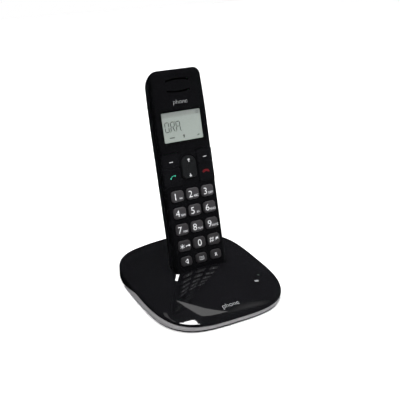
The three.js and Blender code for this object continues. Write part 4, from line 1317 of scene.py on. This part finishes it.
def surround(tree):
    """What the gloss mirrors: a dim room, darker towards the back, over a ground that is pale at the
    front right."""
    place = add(tree, "ShaderNodeTexCoord").outputs["Generated"]
    split = add(tree, "ShaderNodeSeparateXYZ", {"Vector": place}).outputs
    levels = (
        (0.0, 0.003), (0.47, 0.005), (0.5, 0.03), (0.54, 0.042), (0.6, 0.05), (0.75, 0.055), (0.88, 0.075),
        (1.0, 0.08),
    )
    stops = [(position, grey(level, ROOM_TINT)) for position, level in levels]
    height = spread(tree, split["Z"], 0.0, 1.0, -1.0, 1.0)
    dim = spread(tree, split["Y"], 1.0, 0.55, 0.1, 0.9)
    room = add(tree, "ShaderNodeBackground", {"Color": ramp(tree, height, stops), "Strength": dim})
    share = spread(tree, split["Z"], 1.0, 0.0, -0.2, -0.05)
    for side, start, end in (("X", -0.2, 0.3), ("Y", 0.1, -0.4)):
        part = spread(tree, split[side], 0.0, 1.0, start, end)
        share = add(tree, "ShaderNodeMath", {0: share, 1: part}, operation="MULTIPLY").outputs["Value"]
    ground = add(tree, "ShaderNodeBackground", {"Color": grey(0.3), "Strength": 1.0})
    return mixed(tree, share, room.outputs["Background"], ground.outputs["Background"])


ROOM_TINT = (0.97, 0.97, 1.1)
CARD_Z = 900.0
WEDGE_Z = 60.0
GLINT_Z = 21.9


def group_of(name, objects):
    group = bpy.data.collections.new(name)
    for obj in objects:
        group.objects.link(obj)
    return group


def wearing(look):
    """The pieces made in a material of LOOKS."""
    pieces = [obj for obj in bpy.data.objects if obj.type == "MESH"]
    return [obj for obj in pieces if LOOKS[look] in list(obj.data.materials)]


def reflector(name, points, strength, receivers):
    """A glowing card that lights only the receivers, and only their gloss. The camera doesn't see it."""
    card = new_object(name, points, [tuple(range(len(points)))], ROW)
    material, tree, shader = blank(name)
    glow = {"Base Color": grey(0.0), "Emission Color": grey(1.0), "Emission Strength": strength}
    feed(tree, shader, glow)
    card.data.materials.append(material)
    card.visible_camera = False
    card.visible_diffuse = False
    card.visible_shadow = False
    card.visible_transmission = False
    card.light_linking.receiver_collection = receivers


def level_at(height, corners):
    return [(x, y, height) for x, y in corners]


def soft_reflector(name, centre, reach, turn, strength, receivers, steps=6):
    """Ellipses one under another, each smaller and brighter, for a highlight with soft edges."""
    for i in range(steps):
        share = 1.0 - i / steps
        ring = rotated(ellipse(reach[0] * share, reach[1] * share, 40), turn, centre)
        card = level_at(CARD_Z - 1.0 - i, ring)
        reflector(f"{name}_{i}", card, strength * (i + 1) / steps, receivers)


WEDGE = [
    (-30.5, -5.2), (-18, -20.4), (-4.7, -33.2), (18, -50.2), (8, -48.8), (-3, -45.6), (-11, -41.4),
    (-22.8, -21),
]
BRIGHT = [(-460, -250), (52, 192), (111, 232), (195, 252), (216, 239), (214, 171), (90, -330), (-300, -430)]
STREAK = [
    (-60, 528), (5, 500), (-75, 300), (-250, 40), (-520, -120), (-900, -200), (-330, 160), (-150, 390),
]
GLINT = [(-24.4, -6.0), (-22.0, -7.9), (-24.4, -10.1), (-27.1, -13.4), (-28.7, -11.6), (-26.5, -9.2)]


def reflectors():
    """Cards that draw the crisp highlights on the dome."""
    dome = group_of("dome_only", [bpy.data.objects["glossy_base_shell"]])
    reflector("wedge_card", level_at(WEDGE_Z, WEDGE), 1.9, dome)
    reflector("bright_card", level_at(CARD_Z, BRIGHT), 24.0, dome)
    reflector("streak_card", level_at(CARD_Z, STREAK), 0.8, dome)
    soft_reflector("soft_card", (550, 180), (190, 85), math.radians(22), 0.55, dome)
    reflector("glint_card", level_at(GLINT_Z, GLINT), 24.0, dome)


FLOOR_REACH = 1.3


def world_light():
    """The camera sees plain white, and everything else sees the dark surround."""
    world = bpy.data.worlds.new("studio")
    world.use_nodes = True
    bpy.context.scene.world = world
    tree = world.node_tree
    tree.nodes.remove(tree.nodes["Background"])
    white = add(tree, "ShaderNodeBackground", {"Color": grey(1.0), "Strength": 1.0})
    to_camera = add(tree, "ShaderNodeLightPath").outputs["Is Camera Ray"]
    both = mixed(tree, to_camera, surround(tree), white.outputs["Background"])
    feed(tree, tree.nodes["World Output"], {"Surface": both})


def pale_floor():
    reach = FLOOR_REACH
    corners = [(-reach, -reach, 0), (reach, -reach, 0), (reach, reach, 0), (-reach, reach, 0)]
    floor = new_object("floor", corners, [(0, 1, 2, 3)], Matrix.Identity(4))
    floor.data.materials.append(
        moulded("pale_floor", grey(0.93), grey(0.95), (0.8, 0.9), 200.0, 0.01, cloud=3.0)
    )
    floor.visible_glossy = False


def studio_lights():
    """Three soft lights for everything, then lights for the back of the handset and for the keys only."""
    for name, place, height, size, power in (
        ("key_light", (-0.9, -0.9, 1.5), 0.05, 0.8, 34.0),
        ("top_light", (0.2, 0.3, 1.9), 0.0, 2.4, 66.0),
        ("fill_light", (1.5, -0.6, 0.8), 0.06, 1.0, 22.0),
    ):
        area_light(name, place, (0, 0, height), size, power).visible_glossy = False
    backs = [obj for obj in wearing("satin_black_shell") if obj.name != "page_key"]
    satin = group_of("satin_only", backs)
    keys = group_of("keys_only", wearing("key_plastic"))
    for name, place, size, power, receivers, diffuse in (
        ("back_light", (0.7, 1.4, 0.9), 1.2, 110.0, satin, True),
        ("side_light", (1.6, 0.3, 0.6), 1.2, 25.0, satin, True),
        ("key_sheen", (0.17, -0.04, 0.94), 0.9, 8.0, keys, False),
    ):
        lamp = area_light(name, place, (0, 0.03, 0.09), size, power)
        lamp.visible_diffuse = diffuse
        lamp.light_linking.receiver_collection = receivers


def studio():
    """A pale floor under soft light, with a dark surround for the gloss to mirror."""
    world_light()
    pale_floor()
    studio_lights()
    reflectors()


CAMERA_PLACE = (-0.2523, -0.4683, 0.3275)
CAMERA_ANGLES = (-28.44, 24.80, 0.47)
CAMERA_LENS = 63.27


def camera():
    """The photograph's view: from the front left, a little above."""
    azimuth, elevation, roll = (math.radians(angle) for angle in CAMERA_ANGLES)
    flat = math.cos(elevation)
    forward = Vector((-math.sin(azimuth) * flat, math.cos(azimuth) * flat, -math.sin(elevation)))
    level = Vector((math.cos(azimuth), math.sin(azimuth), 0.0))
    upward = level.cross(forward)
    right = level * math.cos(roll) + upward * math.sin(roll)
    above = upward * math.cos(roll) - level * math.sin(roll)
    lens = bpy.data.cameras.new("camera")
    lens.lens = CAMERA_LENS
    lens.sensor_width = 36.0
    lens.clip_start = 0.01
    made = placed("camera", lens)
    made.matrix_world = Matrix((right, above, -forward)).transposed().to_4x4()
    made.location = CAMERA_PLACE
    bpy.context.scene.camera = made


base_shell()
trim_band()
foot_pads()
status_lens()
page_button()
front_shell()
rear_tub()
battery_tray()
battery_cover()
keypad()
rocker()
side_keys()
display()
key_legends()
face_marks()
base_marks()
earpiece_cloth()
dress_cad_nodes()
studio()
camera()

bpy.context.scene.view_settings.view_transform = "Standard"
